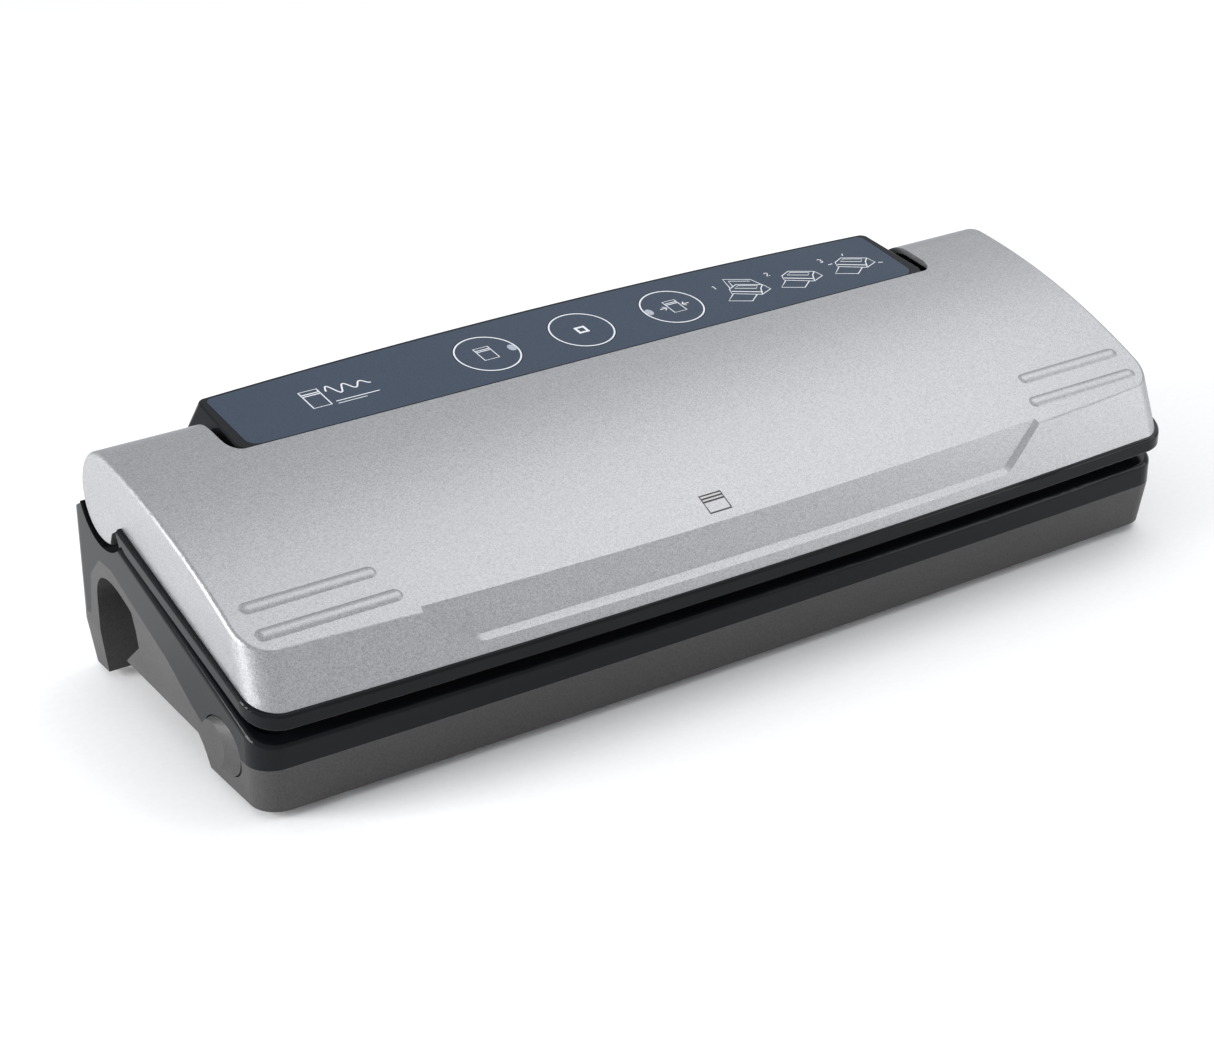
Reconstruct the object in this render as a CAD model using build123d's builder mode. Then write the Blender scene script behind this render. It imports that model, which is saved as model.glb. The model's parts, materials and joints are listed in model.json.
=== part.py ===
"""Countertop vacuum sealer: hinged lid over a vacuum channel and heater bar.

Millimetres.  X runs along the length, -Y is the front, +Z is up.  The origin is
the centre of the overall plan on the surface that the feet stand on.  The lid is
modelled resting slightly open, and turns about the axis of its rounded rear ends.
"""
import os
from math import atan, cos, degrees, radians, sin, sqrt, tan

from build123d import *

os.makedirs("parts", exist_ok=True)

# ---------------------------------------------------------------- driving sizes
# Case
case_half = 185.0            # half length of the case at the seam
case_front = -62.4           # front wall at mid length, at the seam
case_bow = 2.2               # how far the front corners stand back from mid length
case_rear = 66.7             # rear wall
case_corner_radius = 9.0     # front corners in plan
case_rear_corner_radius = 6.0
foot_height = 3.0            # underside of the front slab above the table
slab_taper = 1.8             # the slab's walls lean in by this much at the bottom
seam_height = 18.9           # seam between the two shells at the front
wall = 2.4                   # wall of both shells
slab_back = -24.0            # rear edge of the front slab's underside
raised_floor = 13.7          # raised underside just behind the slab
raised_floor_back = 16.3     # raised underside at the rear legs
leg_front = 51.0             # front face of the rear legs
arch_depth = 34.0            # depth of each grip arch from the side
arch_top = 41.8              # top of the grip arch

# Deck
rim_front_y = -59.0          # a point on the plane of the deck's rim
rim_front_z = 27.6
deck_slope = 18.6            # degrees, rising to the rear
rim_width = 3.2
rim_round = 2.2              # rounding of the rim's outer edge at the front
rim_height = 2.0             # rim above the deck's working surface
seat_height = 57.0           # flat seat under the control console
ear_top_y = 57.7
ear_top_z = 62.7

# Lid
hinge_y = 42.0
hinge_z = 70.2
lid_rear_radius = 15.4
trough_gap = 2.1             # lid's round rear end to the deck's trough
lid_half_bottom = case_half
lid_half_top = lid_half_bottom - 1.0
lid_front_bottom = -65.1     # front face at mid length, at its lower edge
lid_front_crease = -60.0     # front face at mid length, at the crease
lid_bow_bottom = 2.9
lid_bow_crease = 4.2
lid_edge_y = -62.2           # a point on the plane of the cover's lower edge
lid_edge_z = 39.4
lid_slope = 16.2             # degrees, rising to the rear
crease_y = -58.0             # mean position of the crease, on the top arc
crease_z = 55.6
tangent_angle = 95.7         # where the top arc leaves the rear cylinder
lid_corner_radius = 10.0
cover_wall = 2.2
cover_edge_radius = 1.5
flange_overhang = 1.4        # black flange beyond the silver cover
flange_depth = 5.6
liner_plate = 2.5
liner_lip = 3.0
flange_round = 1.2
lip_strip = 1.3              # narrower strip along the flange's lower edge
lip_inset = 0.5
lip_relief = 0.7             # the lip is shallower over the middle
lip_relief_half = 119.0

# Console and notch in the lid
lid_end_width = 39.0         # lid beyond each end of the notch
notch_half = case_half - lid_end_width
notch_radius = 21.9          # about the hinge axis
notch_corner_radius = 5.0
console_end_gap = 1.6        # console shoulder to the notch's end
console_end_lean = 3.8
console_half_shoulder = notch_half - console_end_gap
console_half_top = console_half_shoulder - console_end_lean
console_half_base = console_half_shoulder - 0.2
console_shoulder_z = 78.0    # the walls lean in above this height
console_radius = 20.9        # the console's front wall, about the hinge axis
console_corner_radius = 6.0
console_shoulder_front = 22.0
console_crown_front = 31.0   # where the corners' lean would reach at crown_z
console_front = 25.8         # a point on the plane of the console's top
console_top_z = 82.6
console_slope = 8.0
console_depth = 34.6         # front to rear at the ends
console_rear_bow = 5.2
console_shoulder_rear = 62.4 # rear wall at the ends, at the shoulder
console_base_rear = 63.0
console_rear_limit = 66.3    # rear wall at mid length, at the shoulder
console_shell = 3.0
film_bezel = 2.3             # console end to the film
film_half = console_half_top - film_bezel
film_margin = 0.9            # console front edge to the film
film_width = 32.4
film_bow = 4.9
film_thickness = 0.8
film_corner_radius = 4.5
film_rear_radius = 2.5
film_fit = 0.15
cut_start = 2.0              # cuts into the panel start this far above it
stem_hole_depth = 9.0

# Keys
key_radius = 12.0
key_pitch = 38.9
key_centre_x = 1.0
key_centre_v = 18.6          # along the console's slope
key_gap = 0.25
key_travel = 0.6
key_flange = 0.7
key_flange_thickness = 1.1
key_stem_radius = 2.6
lens_radius_x = 1.5
lens_radius_v = 2.1
lens_offset = 9.9
fit_gap = 0.3                # general clearance between moving neighbours

# Working surfaces on the deck, measured up the slope from the rim's front
bar_start = 9.0
bar_width = 10.0
bar_inset = 27.0             # case end to the bar's end
bar_half = case_half - bar_inset
bar_height = 3.0
strip_width = 2.6
strip_thickness = 0.2
tape_width = 8.0
tape_thickness = 0.2
channel_start = 30.0
channel_width = 36.0
channel_inset = 25.0         # case end to the channel's end
channel_half = case_half - channel_inset
channel_depth = 6.0
channel_corner_radius = 12.0
gasket_margin = 3.0          # channel edge to gasket
gasket_width = 4.4
gasket_height = 3.2
lid_shift = 0.65             # closed lid: its slope coordinate less the deck's

# Release buttons
button_y = -36.0
button_z = 17.8
button_half_width = 12.0
button_half_height = 9.6
button_gap = 0.4
button_proud = 1.6
button_face_shift = 3.4      # the raised face sits nearer the rear
button_face_half_width = 7.6
button_face_half_height = 7.6
button_travel = 3.5
button_flange = 1.1

# Latch
hook_inset = 9.8             # case end to the hook's middle
hook_x = case_half - hook_inset
hook_y = -32.5
hook_width = 6.0
hook_thickness = 3.2
hook_bottom = 25.0
hook_barb = 1.4

# Hinge pins
pin_radius = 3.0
pin_fit = 0.05
pin_in_console = 16.0        # how far each pin reaches in from the notch's end
pin_in_lid = 24.0            # and out into the lid
pin_inner = notch_half - pin_in_console
pin_outer = notch_half + pin_in_lid

# Feet
foot_radius = 6.5
foot_inset = 0.8
front_foot_inset = 31.0
front_foot_x = case_half - front_foot_inset
front_foot_y = -47.5
rear_foot_inset = 17.0
rear_foot_x = case_half - rear_foot_inset
rear_foot_y = 57.6

# Fasteners
screw_radius = 1.6
screw_head_radius = 3.0
screw_head_height = 1.8

# ---------------------------------------------------------------- derived sizes
reach = case_half + 8                       # beyond the ends, for through cuts
lid_rise = tan(radians(lid_slope))
deck_rise = tan(radians(deck_slope))
trough_radius = lid_rear_radius + trough_gap
case_ceiling = 50.0
surface = -rim_height                       # deck's working surface below the rim
liner_under = -liner_plate                  # underside of the liner's plate


def lid_edge(y):
    """Height of the cover's lower edge at depth y."""
    return lid_edge_z + (y - lid_edge_y) * lid_rise


def rim_line(y):
    """Height of the deck's rim plane at depth y."""
    return rim_front_z + (y - rim_front_y) * deck_rise


def sloped_plane(y, z, angle):
    """Plane through a point at mid length that rises to the rear."""
    return Plane(
        origin=(0, y, z),
        x_dir=(1, 0, 0),
        z_dir=(0, -sin(radians(angle)), cos(radians(angle))),
    )


deck_plane = sloped_plane(rim_front_y, rim_front_z, deck_slope)
lid_plane = sloped_plane(lid_edge_y, lid_edge_z, lid_slope)
console_plane = sloped_plane(console_front, console_top_z, console_slope)


def plan_face(z, half, front, bow, rear, front_radius=0, rear_radius=0, rear_bow=0):
    """Plan outline with a bowed front and, if asked, a bowed rear."""
    with BuildSketch(Plane.XY.offset(z)) as plan:
        with BuildLine():
            Line((-half, rear), (-half, front + bow))
            if bow:
                ThreePointArc((-half, front + bow), (0, front), (half, front + bow))
            else:
                Line((-half, front), (half, front))
            Line((half, front + bow), (half, rear))
            if rear_bow:
                ThreePointArc((half, rear), (0, rear + rear_bow), (-half, rear))
            else:
                Line((half, rear), (-half, rear))
        make_face()
        corners = plan.vertices().sort_by(Axis.Y)
        if front_radius:
            fillet(corners[0:2], front_radius)
        if rear_radius:
            corners = plan.vertices().sort_by(Axis.Y)
            fillet(corners[-2:], rear_radius)
    return plan.sketch


def side_face(points, x):
    """Closed outline drawn in depth and height, at one place along the length."""
    with BuildSketch(Plane.YZ.offset(x)) as side:
        with BuildLine():
            Polyline(*points, close=True)
        make_face()
    return side.sketch


def ring_face(plane, half_x, v_low, v_high, radius, width):
    """Rounded frame on a sloped plane."""
    with BuildSketch(plane) as ring:
        with Locations((0, (v_low + v_high) / 2)):
            RectangleRounded(2 * half_x, v_high - v_low, radius)
            RectangleRounded(
                2 * (half_x - width),
                v_high - v_low - 2 * width,
                radius - width,
                mode=Mode.SUBTRACT,
            )
    return ring.sketch


# ---------------------------------------------------------------- seam between shells
seam_points = [
    (-90.0, seam_height),
    (-24.0, seam_height),
    (-17.0, 22.0),
    (0.0, 31.6),
    (24.0, 41.0),
    (38.0, 46.6),
    (47.0, 46.6),
    (55.0, 38.5),
    (57.2, 22.4),
    (90.0, 22.4),
]
seam_bend_radius = 5.0


def under_seam_face(x, floor):
    """Everything below the seam, down to the given height."""
    with BuildSketch(Plane.YZ.offset(x)) as side:
        with BuildLine():
            Polyline(*seam_points)
            Line(seam_points[-1], (seam_points[-1][0], floor))
            Line((seam_points[-1][0], floor), (seam_points[0][0], floor))
            Line((seam_points[0][0], floor), seam_points[0])
        make_face()
        bends = side.vertices().filter_by(
            lambda v: abs(v.X) < 60 and v.Y > floor + 1
        )
        fillet(bends, seam_bend_radius * 0.45)
    return side.sketch


# ---------------------------------------------------------------- grip arch outline
def arch_face(x):
    """Grip arch seen from the side, open below."""
    with BuildSketch(Plane.YZ.offset(x)) as side:
        with BuildLine():
            Polyline((33.5, 15.0), (20.8, 26.1), (22.3, 32.0), (24.6, 37.2))
            Spline(
                (24.6, 37.2),
                (31.0, 39.9),
                (39.0, arch_top),
                (46.0, 40.6),
                (leg_front, 31.0),
                tangents=((1, 0.55), (0, -1)),
            )
            Polyline((leg_front, 31.0), (leg_front, 15.0), (33.5, 15.0))
        make_face()
    return side.sketch


# ---------------------------------------------------------------- lower case
with BuildPart() as case_cavity:
    extrude(
        plan_face(
            foot_height,
            case_half - wall,
            case_front + wall + slab_taper,
            case_bow,
            case_rear - wall - slab_taper,
            case_corner_radius - wall,
            case_rear_corner_radius - wall,
        ),
        amount=90,
    )
    # Middle: the floor steps up behind the slab and down again at the rear bar.
    extrude(
        side_face(
            [
                (-80, foot_height + wall),
                (slab_back - 1.0, foot_height + wall),
                (slab_back + 5.0, raised_floor_back + wall),
                (leg_front - wall, raised_floor_back + wall),
                (leg_front + wall, foot_height + wall),
                (80, foot_height + wall),
                (80, 120),
                (-80, 120),
            ],
            -reach,
        ),
        amount=2 * reach,
        mode=Mode.INTERSECT,
    )
    # Ends: nothing is hollowed around the arches or in the legs.
    end_block_start = case_half - arch_depth - wall
    for side in (-1, 1):
        with BuildSketch(Plane.XY.offset(0)) as end_block:
            with Locations((side * (end_block_start + 40), 18.0 + 50)):
                Rectangle(80, 100)
        extrude(end_block.sketch, amount=120, mode=Mode.SUBTRACT)

with BuildPart() as lower_case:
    loft(
        [
            plan_face(
                foot_height,
                case_half - slab_taper,
                case_front + slab_taper,
                case_bow,
                case_rear - slab_taper,
                case_corner_radius,
                case_rear_corner_radius,
            ),
            plan_face(
                seam_height,
                case_half,
                case_front,
                case_bow,
                case_rear,
                case_corner_radius,
                case_rear_corner_radius,
            ),
        ]
    )
    extrude(
        plan_face(
            seam_height,
            case_half,
            case_front,
            case_bow,
            case_rear,
            case_corner_radius,
            case_rear_corner_radius,
        ),
        amount=case_ceiling - seam_height,
    )
    extrude(under_seam_face(-reach, -5.0), amount=2 * reach, mode=Mode.INTERSECT)
    # Raised underside between the slab and the rear legs
    extrude(
        side_face(
            [
                (slab_back, -1.0),
                (slab_back + 3.0, 9.4),
                (slab_back + 6.0, raised_floor),
                (33.0, raised_floor_back),
                (leg_front, raised_floor_back),
                (leg_front, -1.0),
            ],
            -reach,
        ),
        amount=2 * reach,
        mode=Mode.SUBTRACT,
    )
    for start in (-reach, case_half - arch_depth):
        extrude(arch_face(start), amount=reach - case_half + arch_depth, mode=Mode.SUBTRACT)
    add(case_cavity.part, mode=Mode.SUBTRACT)
    # Pockets that seat the feet
    with BuildSketch(Plane.XY.offset(foot_height)) as foot_pockets:
        for x in (-1, 1):
            with Locations((x * front_foot_x, front_foot_y), (x * rear_foot_x, rear_foot_y)):
                Circle(foot_radius)
    extrude(foot_pockets.sketch, amount=foot_inset, mode=Mode.SUBTRACT)
    # Release button pockets through the side walls
    with BuildSketch(Plane.YZ.offset(-reach)) as button_pocket:
        with Locations((button_y, button_z)):
            Ellipse(button_half_width, button_half_height)
    extrude(button_pocket.sketch, amount=2 * reach, mode=Mode.SUBTRACT)
    # Screw holes in the underside
    with BuildSketch(Plane.XY.offset(foot_height - 1)) as screw_holes:
        with Locations((-100, -45), (0, -45), (100, -45)):
            Circle(screw_radius + 0.2)
        with Locations((-100, 58), (0, 58), (100, 58)):
            Circle(screw_radius + 0.2)
    extrude(screw_holes.sketch, amount=wall + 2, mode=Mode.SUBTRACT)

lower_case.part.label = "lower_case"
export_step(lower_case.part, "parts/lower_case.step")

# ---------------------------------------------------------------- upper deck
rim_peak_y = 30.8
rim_peak_z = rim_line(rim_peak_y)


def deck_end_face(x):
    """Deck profile at the ends, with the trough and the ear."""
    with BuildSketch(Plane.YZ.offset(x)) as side:
        with BuildLine():
            Polyline(
                (-90, 5),
                (-90, rim_line(-90)),
                (rim_peak_y, rim_peak_z),
                (rim_peak_y, rim_peak_z + 8),
                (ear_top_y, ear_top_z + 3),
                (ear_top_y + 0.6, ear_top_z),
                (ear_top_y + 6.6, ear_top_z - 3.6),
                (case_rear + 4, ear_top_z - 6.5),
                (case_rear + 4, 5),
                close=True,
            )
        make_face()
        with Locations((hinge_y, hinge_z)):
            Circle(trough_radius, mode=Mode.SUBTRACT)
    return side.sketch


middle_half = console_half_base + 0.4
with BuildPart() as upper_deck:
    extrude(
        plan_face(
            5,
            case_half,
            case_front,
            case_bow,
            case_rear,
            case_corner_radius,
            case_rear_corner_radius,
        ),
        amount=70,
    )
    extrude(deck_end_face(-reach), amount=2 * reach, mode=Mode.INTERSECT)
    # Middle: flat seat for the console instead of the trough
    extrude(
        side_face(
            [(20, 47), (20, rim_line(20)), (26, rim_line(26)), (29, seat_height),
             (case_rear, seat_height), (case_rear, 47)],
            -middle_half,
        ),
        amount=2 * middle_half,
    )
    with BuildSketch(Plane.XY.offset(seat_height)) as above_seat:
        with Locations((0, 60)):
            Rectangle(2 * middle_half, 66)
    extrude(above_seat.sketch, amount=30, mode=Mode.SUBTRACT)
    extrude(under_seam_face(-reach, -5.0), amount=2 * reach, mode=Mode.SUBTRACT)
    rim_front_edges = upper_deck.edges().filter_by(
        lambda e: abs(e.center().Z - rim_line(e.center().Y)) < 1.0 and e.center().Y < -50
    )
    fillet(rim_front_edges, rim_round)
    # Working surface inside the rim
    with BuildSketch(deck_plane.offset(surface)) as well:
        with Locations((0, (rim_width + 82) / 2)):
            RectangleRounded(2 * (case_half - rim_width), 82 - rim_width, 7)
    extrude(well.sketch, amount=12, mode=Mode.SUBTRACT)
    # Vacuum channel
    with BuildSketch(deck_plane.offset(surface)) as channel:
        with Locations((0, channel_start + channel_width / 2)):
            RectangleRounded(2 * channel_half, channel_width, channel_corner_radius)
    extrude(channel.sketch, amount=-channel_depth, mode=Mode.SUBTRACT)

with BuildPart() as deck_cavity:
    extrude(
        plan_face(
            5,
            case_half - wall,
            case_front + wall,
            case_bow,
            case_rear - wall,
            case_corner_radius - wall,
            case_rear_corner_radius - wall,
        ),
        amount=70,
    )
    extrude(
        side_face(
            [
                (-80, 0),
                (-80, rim_line(-80) - rim_height - wall - 0.3),
                (27, rim_line(27) - rim_height - wall - 0.3),
                (27, seat_height - wall),
                (80, seat_height - wall),
                (80, 0),
            ],
            -reach,
        ),
        amount=2 * reach,
        mode=Mode.INTERSECT,
    )
    with BuildSketch(deck_plane.offset(surface)) as channel_walls:
        with Locations((0, channel_start + channel_width / 2)):
            Rectangle(2 * (channel_half + wall), channel_width + 2 * wall)
    extrude(channel_walls.sketch, amount=-channel_depth - wall, mode=Mode.SUBTRACT)
    for side in (-1, 1):
        with BuildSketch(Plane.XY) as end_block_deck:
            with Locations((side * (end_block_start + 40), 18.0 + 50)):
                Rectangle(80, 100)
        extrude(end_block_deck.sketch, amount=120, mode=Mode.SUBTRACT)

slot_front = hook_y - hook_width / 2 - 7.5
slot_back = hook_y + hook_width / 2 + 3.0
inlet_inset = 24.0           # channel end to the air inlet
inlet_x = channel_half - inlet_inset
inlet_v = channel_start + channel_width / 2
inlet_radius = 5.0
socket_x = -60.0
socket_z = 38.0
socket_width = 26.0
socket_height = 18.0
with BuildPart() as upper_deck_shell:
    add(upper_deck.part)
    add(deck_cavity.part, mode=Mode.SUBTRACT)
    with BuildSketch(Plane.YZ.offset(-reach)) as deck_button_pocket:
        with Locations((button_y, button_z)):
            Ellipse(button_half_width, button_half_height)
    extrude(deck_button_pocket.sketch, amount=2 * reach, mode=Mode.SUBTRACT)
    # Latch slots
    with BuildSketch(Plane.XY.offset(22)) as latch_slots:
        with Locations(
            (-hook_x, (slot_front + slot_back) / 2), (hook_x, (slot_front + slot_back) / 2)
        ):
            Rectangle(hook_thickness + 2 * hook_barb + 1.6, slot_back - slot_front)
    extrude(latch_slots.sketch, amount=30, mode=Mode.SUBTRACT)
    # Hole for the air inlet
    with BuildSketch(deck_plane.offset(surface)) as inlet_hole:
        with Locations((inlet_x, inlet_v)):
            Circle(inlet_radius)
    extrude(inlet_hole.sketch, amount=-channel_depth - wall - 3, mode=Mode.SUBTRACT)
    # Mains socket in the rear wall
    with BuildSketch(Plane.XZ.offset(-case_rear - 5)) as socket_hole:
        with Locations((socket_x, socket_z)):
            RectangleRounded(socket_width, socket_height, 3)
    extrude(socket_hole.sketch, amount=5 + wall + 2, mode=Mode.SUBTRACT)
    # Hinge bosses under the console that hold the pins
    with BuildSketch(Plane.YZ.offset(pin_inner)) as boss:
        with BuildLine():
            Polyline(
                (hinge_y - 9, seat_height),
                (hinge_y - 8, hinge_z),
                (hinge_y + 8, hinge_z),
                (hinge_y + 9, seat_height),
                close=True,
            )
        make_face()
        with Locations((hinge_y, hinge_z)):
            Circle(8)
    extrude(boss.sketch, amount=8)
    extrude(boss.sketch.translate((-2 * pin_inner - 8, 0, 0)), amount=8)
    with BuildSketch(Plane.YZ.offset(-pin_outer)) as pin_hole:
        with Locations((hinge_y, hinge_z)):
            Circle(pin_radius)
    extrude(pin_hole.sketch, amount=2 * pin_outer, mode=Mode.SUBTRACT)

upper_deck_shell.part.label = "upper_deck"
export_step(upper_deck_shell.part, "parts/upper_deck.step")

# ---------------------------------------------------------------- lid cover
start_y = hinge_y + lid_rear_radius * cos(radians(tangent_angle))
start_z = hinge_z + lid_rear_radius * sin(radians(tangent_angle))
span_y = crease_y - start_y
span_z = crease_z - start_z
lean = span_y * cos(radians(tangent_angle)) + span_z * sin(radians(tangent_angle))
top_radius = -(span_y**2 + span_z**2) / (2 * lean)
top_centre_y = start_y - top_radius * cos(radians(tangent_angle))
top_centre_z = start_z - top_radius * sin(radians(tangent_angle))
front_limit = -75.0


def top_arc_z(y, inset=0.0):
    """Height of the lid's top surface at depth y."""
    return top_centre_z + sqrt((top_radius - inset) ** 2 - (y - top_centre_y) ** 2)


def rear_point(angle, inset=0.0):
    """Point on the lid's rounded rear end."""
    radius = lid_rear_radius - inset
    return (hinge_y + radius * cos(radians(angle)), hinge_z + radius * sin(radians(angle)))


rear_arc_end = -107.0


def lid_side_face(x, inset, lower_points):
    """Lid profile: rounded rear, long top arc, then down and back under the lid."""
    rear_start = rear_point(rear_arc_end, inset)
    rear_stop = rear_point(tangent_angle, inset)
    rear_mid = rear_point((tangent_angle + rear_arc_end) / 2, inset)
    middle_y = (rear_stop[0] + front_limit) / 2
    front_top = (front_limit, top_arc_z(front_limit, inset))
    with BuildSketch(Plane.YZ.offset(x)) as side:
        with BuildLine():
            ThreePointArc(rear_start, rear_mid, rear_stop)
            ThreePointArc(rear_stop, (middle_y, top_arc_z(middle_y, inset)), front_top)
            Polyline(front_top, *lower_points, rear_start)
        make_face()
    return side.sketch


def lid_plan_block(inset, low, high, front_extra=0):
    """Block with the lid's bowed front and leaning front face."""
    lean_in = (lid_front_crease - lid_front_bottom) / (lid_top_ref - lid_edge_z)
    bow_gain = (lid_bow_crease - lid_bow_bottom) / (lid_top_ref - lid_edge_z)
    half_loss = (lid_half_bottom - lid_half_top) / (lid_case_top - lid_edge_z)
    faces = []
    for z in (low, high):
        rise = z - lid_edge_z
        faces.append(
            plan_face(
                z,
                lid_half_bottom - half_loss * rise - inset,
                lid_front_bottom + lean_in * rise + inset + front_extra,
                lid_bow_bottom + bow_gain * rise,
                80,
                lid_corner_radius - inset * 0.8,
            )
        )
    return faces


lid_top_ref = crease_z
lid_case_top = hinge_z + lid_rear_radius

with BuildPart() as notch_tool:
    with BuildSketch(Plane.YZ.offset(-notch_half)) as notch_round:
        with Locations((hinge_y, hinge_z)):
            Circle(notch_radius)
    extrude(notch_round.sketch, amount=2 * notch_half)
    fillet(notch_tool.edges().filter_by(GeomType.CIRCLE), notch_corner_radius)
    with BuildSketch(Plane.XY.offset(35)) as notch_rear:
        with Locations((0, hinge_y + 25)):
            Rectangle(2 * notch_half, 50)
    extrude(notch_rear.sketch, amount=80)

rib_radius = 4.0
rib_proud = 0.45
rib_inner = 134.0
rib_outer = 176.0
rib_rows = (-38.8, -48.6)
rib_step = 3.4               # the front rib starts nearer the middle

recess_top_half = 122.6      # outline on the front face, at the crease
recess_bottom_half = 104.0
recess_bottom_z = 41.9
recess_corner_radius = 8.0
recess_wall_angle = 45.0
recess_depth_top = 2.0
recess_depth_bottom = 2.6
recess_bow_bottom = 1.7      # the recess floor is flatter than the face around it

# The front wall is thick enough for the recess to leave a full wall behind it
with BuildPart() as lid_hollow:
    loft(lid_plan_block(cover_wall, 10, 110, max(recess_depth_top, recess_depth_bottom)))
    extrude(
        lid_side_face(
            -reach,
            cover_wall,
            [(front_limit, 10), (rear_point(rear_arc_end, cover_wall)[0], 10)],
        ),
        amount=2 * reach,
        mode=Mode.INTERSECT,
    )

face_angle = atan((lid_front_crease - lid_front_bottom) / (crease_z - lid_edge_z))
tool_setback = 5.0           # the tool starts this far in front of the face
tool_height = 40.0


def recess_floor_face(z):
    """Outline behind the recess floor at one height."""
    rise = z - lid_edge_z
    climb = crease_z - lid_edge_z
    floor_front = lid_front_bottom + recess_depth_bottom
    floor_lean = (lid_front_crease + recess_depth_top - floor_front) / climb
    bow_gain = (lid_bow_crease - recess_bow_bottom) / climb
    return plan_face(
        z, reach, floor_front + floor_lean * rise, recess_bow_bottom + bow_gain * rise, 80
    )


recess_low = (recess_bottom_z - lid_edge_z) / cos(face_angle) - tool_setback
recess_end_bow = lid_bow_crease * (recess_top_half / lid_half_bottom) ** 2
recess_low_half = recess_bottom_half + tool_setback + recess_end_bow / 2
recess_flare = (recess_top_half - recess_bottom_half) / (crease_z - recess_bottom_z)
recess_high_half = recess_low_half + recess_end_bow / 2 + recess_flare * tool_height
leaning_front = Plane(
    origin=(0, lid_front_bottom, lid_edge_z),
    x_dir=(1, 0, 0),
    z_dir=(0, cos(face_angle), -sin(face_angle)),
)
with BuildPart() as recess_tool:
    with BuildSketch(leaning_front.offset(-tool_setback)) as recess_outline:
        with BuildLine():
            Polyline(
                (-recess_low_half, -recess_low),
                (recess_low_half, -recess_low),
                (recess_high_half, -recess_low - tool_height),
                (-recess_high_half, -recess_low - tool_height),
                close=True,
            )
        make_face()
        low_corners = recess_outline.vertices().filter_by(
            lambda v: abs(v.X) < recess_low_half + 1
        )
        fillet(low_corners, recess_corner_radius + tool_setback)
    extrude(recess_outline.sketch, amount=tool_setback + 6, taper=recess_wall_angle)
    loft([recess_floor_face(30.0), recess_floor_face(80.0)], mode=Mode.SUBTRACT)

with BuildPart() as lid_cover:
    loft(lid_plan_block(0, 10, 110))
    extrude(
        lid_side_face(
            -reach,
            0,
            [(front_limit, lid_edge(front_limit)), (28.0, lid_edge(28.0)), (35.5, 60.6)],
        ),
        amount=2 * reach,
        mode=Mode.INTERSECT,
    )
    top_edges = lid_cover.edges().filter_by(
        lambda e: e.center().Z > 52 and not (abs(e.center().X) < 1 and e.center().Y > -40)
    )
    outer_edges = top_edges.filter_by(
        lambda e: e.center().Y < 20 or e.center().Z > 69 or e.center().Y > 45
    ).filter_by(lambda e: e.center().Z > lid_edge(e.center().Y) + 3 or e.center().Y > 45)
    fillet(outer_edges, cover_edge_radius)
    for row, start in zip(rib_rows, (rib_inner, rib_inner - rib_step)):
        rib_z = top_arc_z(row) + rib_proud - rib_radius
        for side in (-1, 1):
            with Locations((side * (start + rib_outer) / 2, row, rib_z)):
                Cylinder(rib_radius, rib_outer - start, rotation=(0, 90, 0))
            for end in (start, rib_outer):
                with Locations((side * end, row, rib_z)):
                    Sphere(rib_radius)
    add(recess_tool.part, mode=Mode.SUBTRACT)
    add(lid_hollow.part, mode=Mode.SUBTRACT)
    add(notch_tool.part, mode=Mode.SUBTRACT)

lid_cover.part.label = "lid_cover"
export_step(lid_cover.part, "parts/lid_cover.step")

# ---------------------------------------------------------------- lid liner
knuckle_gap = 0.3
knuckle_radius = lid_rear_radius - cover_wall - knuckle_gap
knuckle_start = notch_half + 0.4
knuckle_end = lid_half_top - cover_wall - 1.2
skirt_inner_radius = knuckle_radius
skirt_outer_radius = trough_radius - 0.9
skirt_end = lid_half_top - 0.6
flange_back = 28.0

flange_drop = flange_depth / cos(radians(lid_slope))
strip_drop = lip_strip / cos(radians(lid_slope))


def flange_plan_face(overhang):
    """Upright outline of the flange, this far beyond the cover."""
    return plan_face(
        10,
        lid_half_bottom + overhang,
        lid_front_bottom - overhang,
        lid_bow_bottom,
        80,
        lid_corner_radius + overhang,
    )


def flange_side_face(top_drop, low_drop):
    """Flange seen from the side, between two heights below the cover's edge."""
    return side_face(
        [
            (-90, lid_edge(-90) - top_drop),
            (flange_back, lid_edge(flange_back) - top_drop),
            (flange_back, lid_edge(flange_back) - liner_plate),
            (flange_back - 6, lid_edge(flange_back - 6) - low_drop),
            (-90, lid_edge(-90) - low_drop),
        ],
        -reach,
    )


with BuildPart() as flange_strip:
    extrude(flange_plan_face(flange_overhang - lip_inset), amount=100)
    extrude(flange_side_face(0, flange_drop), amount=2 * reach, mode=Mode.INTERSECT)
    lip_edges = flange_strip.edges().filter_by(
        lambda e: e.center().Z < lid_edge(e.center().Y) - flange_drop + 0.4
        and e.center().Y < 10
    )
    fillet(lip_edges, 0.8)

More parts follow.
